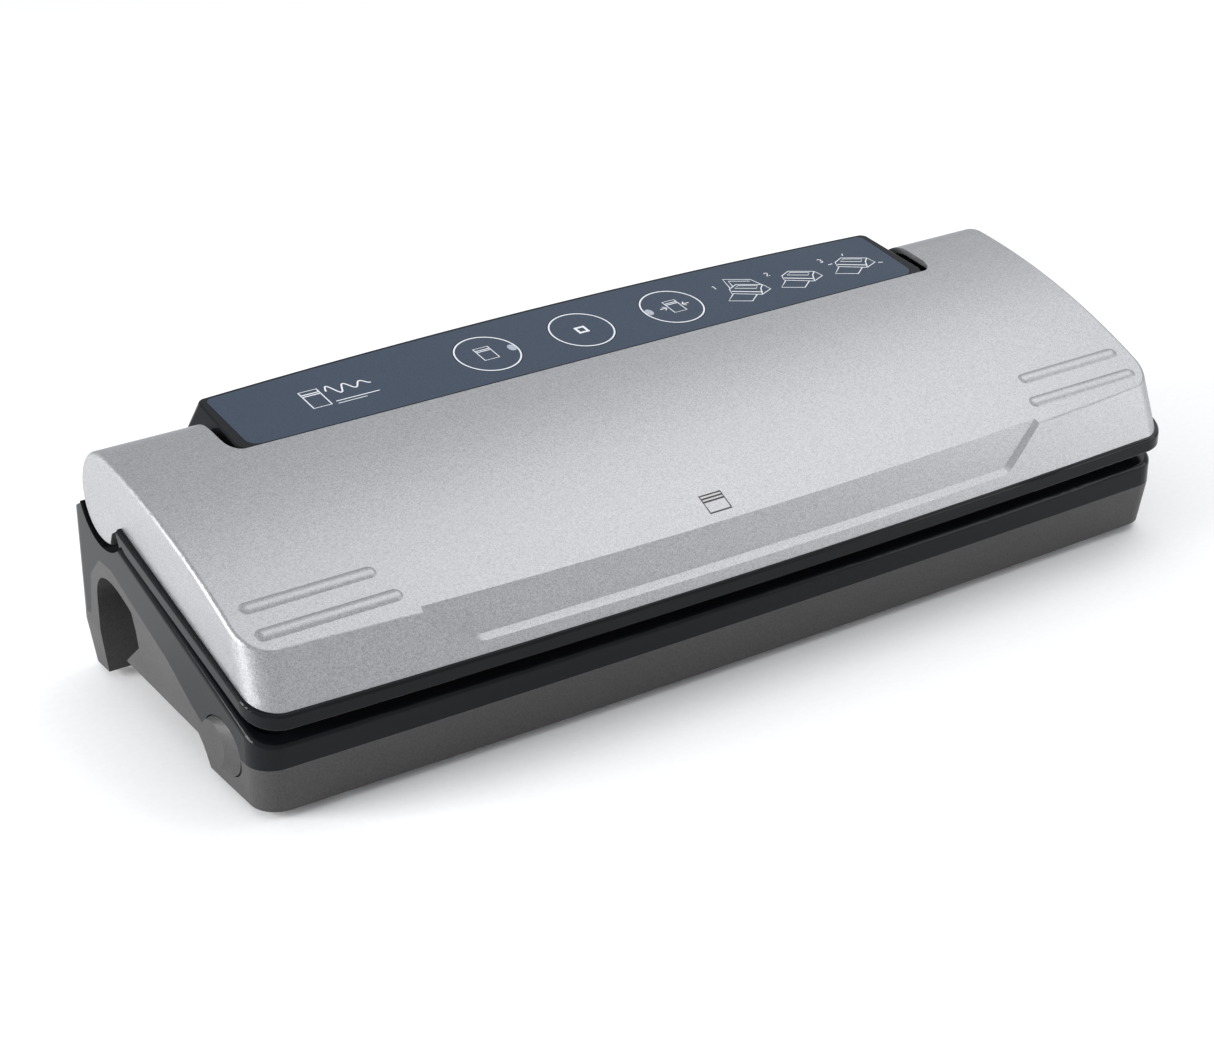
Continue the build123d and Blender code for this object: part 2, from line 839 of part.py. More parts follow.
with BuildPart() as lid_liner:
    extrude(flange_plan_face(flange_overhang), amount=100)
    extrude(
        flange_side_face(0, flange_drop - strip_drop), amount=2 * reach, mode=Mode.INTERSECT
    )
    top_lip = lid_liner.edges().filter_by(
        lambda e: abs(e.center().Z - lid_edge(e.center().Y)) < 0.5 and e.center().Y < 20
    )
    fillet(top_lip, flange_round)
    add(flange_strip.part)
    # The lip is a little shallower over the middle
    with BuildSketch(lid_plane.offset(-flange_depth)) as relief:
        with Locations((0, 0)):
            Rectangle(2 * lip_relief_half, 20)
    extrude(relief.sketch, amount=lip_relief, mode=Mode.SUBTRACT)
    # Underside recess inside the lip
    with BuildSketch(lid_plane.offset(-flange_depth - 1)) as under_recess:
        with Locations((0, 43.5)):
            RectangleRounded(2 * (lid_half_bottom + flange_overhang - liner_lip - 1), 90, 7)
    extrude(under_recess.sketch, amount=flange_depth + 1 - liner_plate, mode=Mode.SUBTRACT)
    # Arms and knuckles that fill the lid's rounded rear ends
    for side in (-1, 1):
        arm_from = knuckle_start if side > 0 else -knuckle_end
        with BuildSketch(Plane.YZ.offset(arm_from)) as knuckle:
            with BuildLine():
                Polyline(
                    (16, lid_edge(16) - 1.5),
                    (flange_back - 0.5, lid_edge(flange_back - 0.5) - 1.5),
                    (38, hinge_z - 9),
                    (hinge_y, hinge_z - 2),
                    (hinge_y, hinge_z + 9),
                    (24, 77),
                    (16, 72),
                    close=True,
                )
            make_face()
            with Locations((hinge_y, hinge_z)):
                Circle(knuckle_radius)
        extrude(knuckle.sketch, amount=knuckle_end - knuckle_start)
        skirt_from = knuckle_start if side > 0 else -skirt_end
        with BuildSketch(Plane.YZ.offset(skirt_from)) as skirt:
            with Locations((hinge_y, hinge_z)):
                Circle(skirt_outer_radius)
                Circle(skirt_inner_radius - 0.6, mode=Mode.SUBTRACT)
            with BuildLine():
                Polyline(
                    (hinge_y, hinge_z),
                    (hinge_y - 30 * sin(radians(52)), hinge_z - 30 * cos(radians(52))),
                    (hinge_y - 30 * sin(radians(32)), hinge_z - 30 * cos(radians(32))),
                    close=True,
                )
            make_face(mode=Mode.INTERSECT)
        extrude(skirt.sketch, amount=skirt_end - knuckle_start)
    add(notch_tool.part, mode=Mode.SUBTRACT)
    with BuildSketch(Plane.YZ.offset(-pin_outer - 1)) as liner_bore:
        with Locations((hinge_y, hinge_z)):
            Circle(pin_radius + pin_fit)
    extrude(liner_bore.sketch, amount=2 * pin_outer + 2, mode=Mode.SUBTRACT)

lid_liner.part.label = "lid_liner"
export_step(lid_liner.part, "parts/lid_liner.step")

# ---------------------------------------------------------------- hinge pins
with BuildPart() as hinge_pins:
    for start in (-pin_outer, pin_inner):
        with BuildSketch(Plane.YZ.offset(start)) as pin_end:
            with Locations((hinge_y, hinge_z)):
                Circle(pin_radius)
        extrude(pin_end.sketch, amount=pin_outer - pin_inner)
    chamfer(hinge_pins.edges().filter_by(GeomType.CIRCLE), 0.4)

hinge_pins.part.label = "hinge_pins"
export_step(hinge_pins.part, "parts/hinge_pins.step")

# ---------------------------------------------------------------- control console
console_rise = tan(radians(console_slope))
console_rear = console_front + console_depth * cos(radians(console_slope))
console_top_end_z = console_top_z + (console_rear - console_front) * console_rise
crown_z = 96.0               # above the console's highest point


def console_side_face(x, inset, floor):
    """Console profile: front wall round the hinge axis, sloping top, upright rear."""
    radius = console_radius - inset
    low_y = hinge_y - sqrt(radius**2 - (floor - hinge_z) ** 2)
    top_line_z = console_top_z - inset / cos(radians(console_slope))
    high_y = console_front
    for _ in range(6):
        high_z = top_line_z + (high_y - console_front) * console_rise
        high_y = hinge_y - sqrt(radius**2 - (high_z - hinge_z) ** 2)
    rear_y = console_rear + console_rear_bow + 4
    rear_z = top_line_z + (rear_y - console_front) * console_rise
    with BuildSketch(Plane.YZ.offset(x)) as side:
        with BuildLine():
            ThreePointArc((low_y, floor), (hinge_y - radius, hinge_z), (high_y, high_z))
            Polyline((high_y, high_z), (rear_y, rear_z), (rear_y, floor), (low_y, floor))
        make_face()
    return side.sketch


def console_plan_face(z, half, front, rear, limit, inset):
    """Console plan at one height: rounded front corners and a bowed rear."""
    radius = console_corner_radius - inset / 2
    return plan_face(z, half - inset, front, 0, rear - inset, radius, 3.0, limit - rear)


def console_block(inset):
    """Plans at the seat, the shoulder and above the top, where the walls lean in."""
    rise = (crown_z - console_shoulder_z) / (console_top_end_z - console_shoulder_z)
    half_loss = (console_half_shoulder - console_half_top) * rise
    rear_loss = (console_shoulder_rear - console_rear) * rise
    limit_loss = (console_rear_limit - console_rear - console_rear_bow) * rise
    return [
        console_plan_face(
            seat_height,
            console_half_base,
            hinge_y - console_radius,
            console_base_rear,
            console_rear_limit,
            inset,
        ),
        console_plan_face(
            console_shoulder_z,
            console_half_shoulder,
            console_shoulder_front,
            console_shoulder_rear,
            console_rear_limit,
            inset,
        ),
        console_plan_face(
            crown_z,
            console_half_shoulder - half_loss,
            console_crown_front,
            console_shoulder_rear - rear_loss,
            console_rear_limit - limit_loss,
            inset,
        ),
    ]


with BuildPart() as console_hollow:
    hollow_faces = console_block(console_shell)
    loft(hollow_faces[0:2])
    loft(hollow_faces[1:3])
    extrude(
        console_side_face(-reach, console_shell + 2.6, seat_height),
        amount=2 * reach,
        mode=Mode.INTERSECT,
    )

key_centres = [key_centre_x + i * key_pitch for i in (-1, 0, 1)]
key_pocket_depth = film_thickness + key_flange_thickness + key_travel + fit_gap
key_pocket_radius = key_radius + key_flange + fit_gap
stem_hole_radius = key_stem_radius + fit_gap

def film_face(plane, fit):
    """Film outline, grown by a fit, with a bowed rear edge."""
    half = film_half + fit
    front = film_margin - fit
    rear = film_margin + film_width
    with BuildSketch(plane) as outline:
        with BuildLine():
            Polyline((-half, rear), (-half, front), (half, front), (half, rear))
            ThreePointArc((half, rear), (0, rear + film_bow + fit), (-half, rear))
        make_face()
        corners = outline.vertices().group_by(Axis.Y)
        fillet(corners[0], film_corner_radius)
        rear_corners = outline.vertices().filter_by(lambda v: abs(abs(v.X) - half) < 0.01)
        fillet(rear_corners.sort_by(Axis.Y)[-2:], film_rear_radius)
    return outline.sketch


with BuildPart() as control_console:
    console_faces = console_block(0)
    loft(console_faces[0:2])
    loft(console_faces[1:3])
    extrude(
        console_side_face(-reach, 0, seat_height), amount=2 * reach, mode=Mode.INTERSECT
    )
    crown = control_console.edges().filter_by(
        lambda e: e.center().Z > console_top_z - 2 and e.length > 30
    )
    fillet(crown, 0.8)
    add(console_hollow.part, mode=Mode.SUBTRACT)
    # Seat for the film, cut from above the panel so no skin is left over it
    extrude(
        film_face(console_plane.offset(cut_start), film_fit),
        amount=-film_thickness - cut_start,
        mode=Mode.SUBTRACT,
    )
    # Pockets and stem holes for the keys
    with BuildSketch(console_plane.offset(cut_start)) as key_pockets:
        with Locations(*[(x, key_centre_v) for x in key_centres]):
            Circle(key_pocket_radius)
    extrude(key_pockets.sketch, amount=-key_pocket_depth - cut_start, mode=Mode.SUBTRACT)
    with BuildSketch(console_plane.offset(cut_start)) as stem_holes:
        with Locations(*[(x, key_centre_v) for x in key_centres]):
            Circle(stem_hole_radius)
    extrude(stem_holes.sketch, amount=-stem_hole_depth - cut_start, mode=Mode.SUBTRACT)
    # Room for the pins and their bosses
    for start in (-pin_inner - 8.3, pin_inner - 0.3):
        with BuildSketch(Plane.YZ.offset(start)) as boss_room:
            with BuildLine():
                Polyline(
                    (hinge_y - 9.5, seat_height - 1),
                    (hinge_y - 8.3, hinge_z),
                    (hinge_y + 8.3, hinge_z),
                    (hinge_y + 9.5, seat_height - 1),
                    close=True,
                )
            make_face()
            with Locations((hinge_y, hinge_z)):
                Circle(8.3)
        extrude(boss_room.sketch, amount=8.6, mode=Mode.SUBTRACT)
    with BuildSketch(Plane.YZ.offset(-pin_outer)) as console_pin_hole:
        with Locations((hinge_y, hinge_z)):
            Circle(pin_radius + pin_fit)
    extrude(console_pin_hole.sketch, amount=2 * pin_outer, mode=Mode.SUBTRACT)

control_console.part.label = "control_console"
export_step(control_console.part, "parts/control_console.step")

# ---------------------------------------------------------------- panel film
with BuildPart() as panel_film:
    extrude(film_face(console_plane.offset(-film_thickness), 0), amount=film_thickness)
    with BuildSketch(console_plane.offset(-film_thickness)) as key_openings:
        with Locations(*[(x, key_centre_v) for x in key_centres]):
            Circle(key_radius + key_gap)
    extrude(key_openings.sketch, amount=film_thickness, mode=Mode.SUBTRACT)

panel_film.part.label = "panel_film"
export_step(panel_film.part, "parts/panel_film.step")

# ---------------------------------------------------------------- keys and lenses
board_level = 12.0           # control board's top below the panel
switch_height = 1.6
stem_length = board_level - switch_height - key_travel - fit_gap
key_names = ("seal_key", "stop_key", "vacuum_key")
lens_side = (1, 0, -1)
lens_names = ("seal_lens", "", "vacuum_lens")
for name, x, toward in zip(key_names, key_centres, lens_side):
    with BuildPart() as key:
        with BuildSketch(console_plane.offset(-film_thickness)) as cap:
            with Locations((x, key_centre_v)):
                Circle(key_radius)
        extrude(cap.sketch, amount=film_thickness)
        with BuildSketch(
            console_plane.offset(-film_thickness - key_flange_thickness)
        ) as key_rim:
            with Locations((x, key_centre_v)):
                Circle(key_radius + key_flange)
        extrude(key_rim.sketch, amount=key_flange_thickness)
        with BuildSketch(console_plane.offset(-stem_length)) as stem:
            with Locations((x, key_centre_v)):
                Circle(key_stem_radius)
        extrude(stem.sketch, amount=stem_length - film_thickness)
        if toward:
            with BuildSketch(console_plane) as lens_hole:
                with Locations((x + toward * lens_offset, key_centre_v)):
                    Ellipse(lens_radius_x, lens_radius_v)
            extrude(lens_hole.sketch, amount=-3, mode=Mode.SUBTRACT)
    key.part.label = name
    export_step(key.part, f"parts/{name}.step")

for name, x, toward in zip(lens_names, key_centres, lens_side):
    if name:
        with BuildPart() as lens:
            with BuildSketch(console_plane.offset(-1.7)) as lens_outline:
                with Locations((x + toward * lens_offset, key_centre_v)):
                    Ellipse(lens_radius_x, lens_radius_v)
            extrude(lens_outline.sketch, amount=1.75)
        lens.part.label = name
        export_step(lens.part, f"parts/{name}.step")

# ---------------------------------------------------------------- seal bar on the deck
with BuildPart() as heater_bar:
    with BuildSketch(deck_plane.offset(surface)) as bar_outline:
        with Locations((0, bar_start + bar_width / 2)):
            RectangleRounded(2 * bar_half, bar_width, 2)
    extrude(bar_outline.sketch, amount=bar_height)
    chamfer(heater_bar.faces().sort_by(Axis.Z)[-1:].edges().filter_by(Axis.X), 0.6)

heater_bar.part.label = "heater_bar"
export_step(heater_bar.part, "parts/heater_bar.step")

bar_top = surface + bar_height
with BuildPart() as heating_strip:
    with BuildSketch(deck_plane.offset(bar_top)) as strip_outline:
        with Locations((0, bar_start + bar_width / 2)):
            Rectangle(2 * bar_half - 8, strip_width)
    extrude(strip_outline.sketch, amount=strip_thickness)

heating_strip.part.label = "heating_strip"
export_step(heating_strip.part, "parts/heating_strip.step")

with BuildPart() as release_tape:
    with BuildSketch(deck_plane.offset(bar_top)) as tape_outline:
        with Locations((0, bar_start + bar_width / 2)):
            Rectangle(2 * bar_half - 4, tape_width)
    extrude(tape_outline.sketch, amount=strip_thickness + tape_thickness)
    with BuildSketch(deck_plane.offset(bar_top)) as tape_room:
        with Locations((0, bar_start + bar_width / 2)):
            Rectangle(2 * bar_half - 8, strip_width)
    extrude(tape_room.sketch, amount=strip_thickness, mode=Mode.SUBTRACT)

release_tape.part.label = "release_tape"
export_step(release_tape.part, "parts/release_tape.step")

# ---------------------------------------------------------------- gaskets
ring_low = channel_start - gasket_margin - gasket_width
ring_high = channel_start + channel_width + gasket_margin + gasket_width
ring_half = channel_half + gasket_margin + gasket_width
ring_radius = channel_corner_radius + gasket_margin + gasket_width
with BuildPart() as lower_gasket:
    extrude(
        ring_face(
            deck_plane.offset(surface), ring_half, ring_low, ring_high, ring_radius, gasket_width
        ),
        amount=gasket_height,
    )
    fillet(lower_gasket.faces().filter_by(lambda f: f.center().Z > 0).sort_by(
        SortBy.AREA)[-2:].edges().filter_by(
        lambda e: deck_plane.to_local_coords(e.center()).Z > surface + gasket_height - 0.2), 1.2)

lower_gasket.part.label = "lower_gasket"
export_step(lower_gasket.part, "parts/lower_gasket.step")

with BuildPart() as upper_gasket:
    extrude(
        ring_face(
            lid_plane.offset(liner_under),
            ring_half,
            ring_low - lid_shift,
            ring_high - lid_shift,
            ring_radius,
            gasket_width,
        ),
        amount=-gasket_height,
    )

upper_gasket.part.label = "upper_gasket"
export_step(upper_gasket.part, "parts/upper_gasket.step")

strip_height = 3.4
with BuildPart() as pressure_strip:
    with BuildSketch(lid_plane.offset(liner_under)) as pressure_outline:
        with Locations((0, bar_start - lid_shift + bar_width / 2)):
            RectangleRounded(2 * bar_half, bar_width - 1, 2)
    extrude(pressure_outline.sketch, amount=-strip_height)

pressure_strip.part.label = "pressure_strip"
export_step(pressure_strip.part, "parts/pressure_strip.step")

# ---------------------------------------------------------------- channel fittings
channel_floor = surface - channel_depth
stop_radius = 3.0
stop_x = 62.0
with BuildPart() as bag_stops:
    with BuildSketch(deck_plane.offset(channel_floor)) as stop_outline:
        with Locations((-stop_x, inlet_v), (stop_x, inlet_v)):
            Circle(stop_radius)
    extrude(stop_outline.sketch, amount=channel_depth + 1.2)
    fillet(bag_stops.faces().sort_by(Axis.Z)[-2:].edges(), 1.0)

bag_stops.part.label = "bag_stops"
export_step(bag_stops.part, "parts/bag_stops.step")

inlet_bore = 2.4
inlet_drop = 5.0
with BuildPart() as air_inlet:
    with BuildSketch(deck_plane.offset(channel_floor - inlet_drop)) as inlet_body:
        with Locations((inlet_x, inlet_v)):
            Circle(inlet_radius)
    extrude(inlet_body.sketch, amount=inlet_drop + 2.5)
    with BuildSketch(deck_plane.offset(channel_floor)) as inlet_collar:
        with Locations((inlet_x, inlet_v)):
            Circle(inlet_radius + 2.0)
    extrude(inlet_collar.sketch, amount=1.2)
    with BuildSketch(deck_plane.offset(channel_floor - inlet_drop)) as inlet_hollow:
        with Locations((inlet_x, inlet_v)):
            Circle(inlet_bore)
    extrude(inlet_hollow.sketch, amount=inlet_drop + 5, mode=Mode.SUBTRACT)

air_inlet.part.label = "air_inlet"
export_step(air_inlet.part, "parts/air_inlet.step")

# ---------------------------------------------------------------- lid hooks
with BuildPart() as lid_hooks:
    for side in (-1, 1):
        top_z = lid_edge(hook_y) - liner_plate / cos(radians(lid_slope))
        with BuildSketch(Plane.YZ.offset(side * hook_x - hook_thickness / 2)) as shank:
            with BuildLine():
                Polyline(
                    (hook_y - hook_width / 2, hook_bottom),
                    (hook_y + hook_width / 2, hook_bottom),
                    (hook_y + hook_width / 2, top_z + hook_width / 2 * lid_rise),
                    (hook_y - hook_width / 2, top_z - hook_width / 2 * lid_rise),
                    close=True,
                )
            make_face()
        extrude(shank.sketch, amount=hook_thickness)
        barb_x = side * (hook_x - hook_thickness / 2)
        with BuildSketch(Plane.XZ.offset(-(hook_y + hook_width / 2))) as barb:
            with BuildLine():
                Polyline(
                    (barb_x, hook_bottom),
                    (barb_x - side * hook_barb, hook_bottom + 2.0),
                    (barb_x - side * hook_barb, hook_bottom + 3.0),
                    (barb_x, hook_bottom + 3.0),
                    close=True,
                )
            make_face()
        extrude(barb.sketch, amount=hook_width)

lid_hooks.part.label = "lid_hooks"
export_step(lid_hooks.part, "parts/lid_hooks.step")

# ---------------------------------------------------------------- release buttons
button_face = case_half + button_proud
button_edge = case_half - 0.2        # where the crown's slope starts
button_names = ("release_button_left", "release_button_right")
slider_names = ("latch_slider_left", "latch_slider_right")
slider_low = 15.0
slider_high = 18.6
slider_half_width = 4.0
catch_top = 27.5
slider_inner = hook_x - hook_thickness / 2 - hook_barb - fit_gap - 3.6
button_back = case_half - wall - 1.8
for name, slider_name, side in zip(button_names, slider_names, (-1, 1)):
    with BuildPart() as button:
        start = case_half - wall - fit_gap
        with BuildSketch(Plane.YZ.offset(side * start)) as stem_outline:
            with Locations((button_y, button_z)):
                Ellipse(button_half_width - button_gap, button_half_height - button_gap)
        extrude(stem_outline.sketch, amount=side * (button_edge - start))
        with BuildSketch(Plane.YZ.offset(side * button_edge)) as button_edge_outline:
            with Locations((button_y, button_z)):
                Ellipse(button_half_width - button_gap, button_half_height - button_gap)
        with BuildSketch(Plane.YZ.offset(side * button_face)) as button_top_outline:
            with Locations((button_y + button_face_shift, button_z)):
                Ellipse(button_face_half_width, button_face_half_height)
        loft([button_edge_outline.sketch, button_top_outline.sketch])
        with BuildSketch(Plane.YZ.offset(side * start)) as button_rim:
            with Locations((button_y, button_z)):
                Ellipse(
                    button_half_width - button_gap + button_flange,
                    button_half_height - button_gap + button_flange * 0.8,
                )
        extrude(button_rim.sketch, amount=-side * (start - button_back))
    button.part.label = name
    export_step(button.part, f"parts/{name}.step")

    with BuildPart() as slider:
        with BuildSketch(Plane.XY.offset(slider_low)) as slider_bar:
            with Locations(
                (side * (slider_inner + button_back) / 2, hook_y),
            ):
                Rectangle(button_back - slider_inner, 2 * slider_half_width)
        extrude(slider_bar.sketch, amount=slider_high - slider_low)
        with BuildSketch(Plane.XY.offset(slider_high)) as catch:
            with Locations((side * (slider_inner + 1.8), hook_y)):
                Rectangle(3.6, 2 * slider_half_width)
        extrude(catch.sketch, amount=catch_top - slider_high)
    slider.part.label = slider_name
    export_step(slider.part, f"parts/{slider_name}.step")

# Leaf springs stand on the floor inside each slider's reach
leaf_thickness = 0.6
leaf_foot = 10.0
floor_top = foot_height + wall
with BuildPart() as latch_springs:
    for side in (-1, 1):
        leaf_x = side * (slider_inner - button_travel - 0.5)
        with BuildSketch(Plane.XZ.offset(-(hook_y + 3))) as leaf:
            with BuildLine():
                Polyline(
                    (leaf_x, floor_top),
                    (leaf_x, slider_high),
                    (leaf_x - side * leaf_thickness, slider_high),
                    (leaf_x - side * leaf_thickness, floor_top + leaf_thickness),
                    (leaf_x - side * leaf_foot, floor_top + leaf_thickness),
                    (leaf_x - side * leaf_foot, floor_top),
                    close=True,
                )
            make_face()
        extrude(leaf.sketch, amount=6)

latch_springs.part.label = "latch_springs"
export_step(latch_springs.part, "parts/latch_springs.step")

# ---------------------------------------------------------------- control board
board_half = 78.0
board_thickness = 1.6
with BuildPart() as control_board:
    with BuildSketch(console_plane.offset(-board_level - board_thickness)) as board_outline:
        with Locations((0, 17.0)):
            Rectangle(2 * board_half, 22)
    extrude(board_outline.sketch, amount=board_thickness)
    with BuildSketch(console_plane.offset(-board_level)) as pillars:
        for x in (-board_half + 5, board_half - 5):
            with Locations((x, 10.5), (x, 23.5)):
                Circle(2.2)
    extrude(pillars.sketch, amount=board_level - console_shell - 2.6)

control_board.part.label = "control_board"
export_step(control_board.part, "parts/control_board.step")

with BuildPart() as tact_switches:
    with BuildSketch(console_plane.offset(-board_level)) as switch_outline:
        with Locations(*[(x, key_centre_v) for x in key_centres]):
            Rectangle(6, 6)
    extrude(switch_outline.sketch, amount=1.0)
    with BuildSketch(console_plane.offset(-board_level + 1.0)) as switch_button:
        with Locations(*[(x, key_centre_v) for x in key_centres]):
            Circle(1.7)
    extrude(switch_button.sketch, amount=switch_height - 1.0)

tact_switches.part.label = "tact_switches"
export_step(tact_switches.part, "parts/tact_switches.step")

# ---------------------------------------------------------------- power and pump
inner_floor = raised_floor_back + wall
transformer_x = -112.0
transformer_y = 32.5
core_length = 44.0
core_depth = 34.0
core_height = 26.0
coil_height = 18.0
with BuildPart() as transformer_core:
    with BuildSketch(Plane.XY.offset(inner_floor)) as core_outline:
        with Locations((transformer_x, transformer_y)):
            Rectangle(core_length, core_depth)
    extrude(core_outline.sketch, amount=core_height)
    with BuildSketch(Plane.XZ.offset(-transformer_y - 30)) as windows:
        with Locations(
            (transformer_x - 10.5, inner_floor + core_height / 2),
            (transformer_x + 10.5, inner_floor + core_height / 2),
        ):
            Rectangle(8, coil_height)
    extrude(windows.sketch, amount=60, mode=Mode.SUBTRACT)

transformer_core.part.label = "transformer_core"
export_step(transformer_core.part, "parts/transformer_core.step")

coil_gap = 0.3
with BuildPart() as transformer_coil:
    with BuildSketch(Plane.XZ.offset(-transformer_y - core_depth / 2 - 5)) as coil_outline:
        with Locations((transformer_x, inner_floor + core_height / 2)):
            Rectangle(29 - 2 * coil_gap, coil_height - 2 * coil_gap)
    extrude(coil_outline.sketch, amount=core_depth + 10)
    with BuildSketch(Plane.XY.offset(inner_floor - 1)) as limb_room:
        with Locations((transformer_x, transformer_y)):
            Rectangle(13 + 2 * coil_gap, core_depth + 2 * coil_gap)
    extrude(limb_room.sketch, amount=core_height + 2, mode=Mode.SUBTRACT)

transformer_coil.part.label = "transformer_coil"
export_step(transformer_coil.part, "parts/transformer_coil.step")

power_x = -38.0
power_y = 22.0
power_length = 80.0
power_depth = 44.0
post_height = 4.0
with BuildPart() as power_board:
    with BuildSketch(Plane.XY.offset(inner_floor + post_height)) as power_outline:
        with Locations((power_x, power_y)):
            Rectangle(power_length, power_depth)
    extrude(power_outline.sketch, amount=board_thickness)
    with BuildSketch(Plane.XY.offset(inner_floor)) as power_posts:
        with Locations((power_x, power_y)):
            with GridLocations(power_length - 8, power_depth - 8, 2, 2):
                Circle(2.5)
    extrude(power_posts.sketch, amount=post_height)

power_board.part.label = "power_board"
export_step(power_board.part, "parts/power_board.step")

power_top = inner_floor + post_height + board_thickness
with BuildPart() as capacitors:
    with BuildSketch(Plane.XY.offset(power_top)) as can_outline:
        with Locations((power_x - 22, power_y + 8), (power_x - 8, power_y + 8)):
            Circle(5)
    extrude(can_outline.sketch, amount=14)
    fillet(capacitors.faces().sort_by(Axis.Z)[-2:].edges(), 0.6)

capacitors.part.label = "capacitors"
export_step(capacitors.part, "parts/capacitors.step")

with BuildPart() as relay:
    with BuildSketch(Plane.XY.offset(power_top)) as relay_outline:
        with Locations((power_x + 20, power_y + 6)):
            Rectangle(19, 15)
    extrude(relay_outline.sketch, amount=14)

relay.part.label = "relay"
export_step(relay.part, "parts/relay.step")

motor_y = 30.0
motor_z = 35.0
motor_radius = 12.5
motor_start = 52.0
motor_end = 88.0
shaft_radius = 1.5
port_z = 29.0
head_start = 26.0
head_height = 28.0
with BuildPart() as pump_head:
    with BuildSketch(Plane.YZ.offset(head_start)) as head_outline:
        with Locations((motor_y, inner_floor + head_height / 2)):
            RectangleRounded(28, head_height, 3)
    extrude(head_outline.sketch, amount=motor_start - head_start)
    with BuildSketch(Plane.XZ.offset(-(motor_y - 14))) as port:
        with Locations((head_start + 10, port_z)):
            Circle(3.0)
    extrude(port.sketch, amount=8)
    with BuildSketch(Plane.XZ.offset(-(motor_y - 14) + 4)) as port_bore:
        with Locations((head_start + 10, port_z)):
            Circle(1.6)
    extrude(port_bore.sketch, amount=4, mode=Mode.SUBTRACT)

pump_head.part.label = "pump_head"
export_step(pump_head.part, "parts/pump_head.step")

with BuildPart() as pump_motor:
    with BuildSketch(Plane.YZ.offset(motor_start)) as motor_outline:
        with Locations((motor_y, motor_z)):
            Circle(motor_radius)
    extrude(motor_outline.sketch, amount=motor_end - motor_start)
    fillet(pump_motor.faces().sort_by(Axis.X)[-1].edges(), 1.5)
    with BuildSketch(Plane.YZ.offset(motor_end)) as shaft:
        with Locations((motor_y, motor_z)):
            Circle(shaft_radius)
    extrude(shaft.sketch, amount=10)

pump_motor.part.label = "pump_motor"
export_step(pump_motor.part, "parts/pump_motor.step")

fan_start = motor_end + 2.0
fan_radius = 12.0
blade_count = 8
with BuildPart() as motor_fan:
    with BuildSketch(Plane.YZ.offset(fan_start)) as fan_hub:
        with Locations((motor_y, motor_z)):
            Circle(4.5)
            with PolarLocations((fan_radius + 3) / 2, blade_count):
                Rectangle(fan_radius - 3, 1.4)
    extrude(fan_hub.sketch, amount=6)
    with BuildSketch(Plane.YZ.offset(fan_start)) as fan_bore:
        with Locations((motor_y, motor_z)):
            Circle(shaft_radius + 0.05)
    extrude(fan_bore.sketch, amount=6, mode=Mode.SUBTRACT)

motor_fan.part.label = "motor_fan"
export_step(motor_fan.part, "parts/motor_fan.step")

inlet_end = deck_plane.offset(channel_floor - inlet_drop).from_local_coords(
    Vector(inlet_x, inlet_v, 0)
)
port_mouth = (head_start + 10, motor_y - 22, port_z)
hose_radius = 3.6
hose_bore = 2.2
with BuildPart() as vacuum_hose:
    with BuildLine() as hose_path:
        Spline(
            port_mouth,
            (56, motor_y - 30, 27.0),
            (96, motor_y - 31, 25.0),
            (124, motor_y - 33, 25.0),
            (inlet_end.X, inlet_end.Y + 1.0, inlet_end.Z - fit_gap),
            tangents=(
                (0, -1, 0),
                (0, sin(radians(-deck_slope)), cos(radians(deck_slope))),
            ),
        )
    with BuildSketch(Plane(origin=port_mouth, x_dir=(1, 0, 0), z_dir=(0, -1, 0))) as hose_ring:
        Circle(hose_radius)
        Circle(hose_bore, mode=Mode.SUBTRACT)
    sweep(hose_ring.sketch, path=hose_path.wires()[0])

vacuum_hose.part.label = "vacuum_hose"
export_step(vacuum_hose.part, "parts/vacuum_hose.step")

with BuildPart() as pressure_switch:
    with BuildSketch(Plane.XY.offset(inner_floor)) as switch_base:
        with Locations((122, 32)):
            Circle(10)
    extrude(switch_base.sketch, amount=8)
    with BuildSketch(Plane.XY.offset(inner_floor + 8)) as switch_nozzle:
        with Locations((122, 32)):
            Circle(2.5)
    extrude(switch_nozzle.sketch, amount=6)

pressure_switch.part.label = "pressure_switch"
export_step(pressure_switch.part, "parts/pressure_switch.step")

# ---------------------------------------------------------------- mains socket
socket_depth = 20.0
with BuildPart() as mains_socket:
    with BuildSketch(Plane.XZ.offset(-case_rear)) as socket_body:
        with Locations((socket_x, socket_z)):
            RectangleRounded(socket_width, socket_height, 3)
    extrude(socket_body.sketch, amount=socket_depth)
    with BuildSketch(Plane.XZ.offset(-case_rear)) as socket_mouth:
        with Locations((socket_x - 4.2, socket_z), (socket_x + 4.2, socket_z)):
            Circle(5.0)
    extrude(socket_mouth.sketch, amount=socket_depth - 3, mode=Mode.SUBTRACT)

mains_socket.part.label = "mains_socket"
export_step(mains_socket.part, "parts/mains_socket.step")

with BuildPart() as socket_pins:
    with BuildSketch(Plane.XZ.offset(-case_rear + socket_depth - 3)) as pin_outline:
        with Locations((socket_x - 4.3, socket_z), (socket_x + 4.3, socket_z)):
            Circle(1.15)
    extrude(pin_outline.sketch, amount=-(socket_depth - 7))
    fillet(socket_pins.faces().sort_by(Axis.Y)[-2:].edges(), 0.5)

socket_pins.part.label = "socket_pins"
export_step(socket_pins.part, "parts/socket_pins.step")

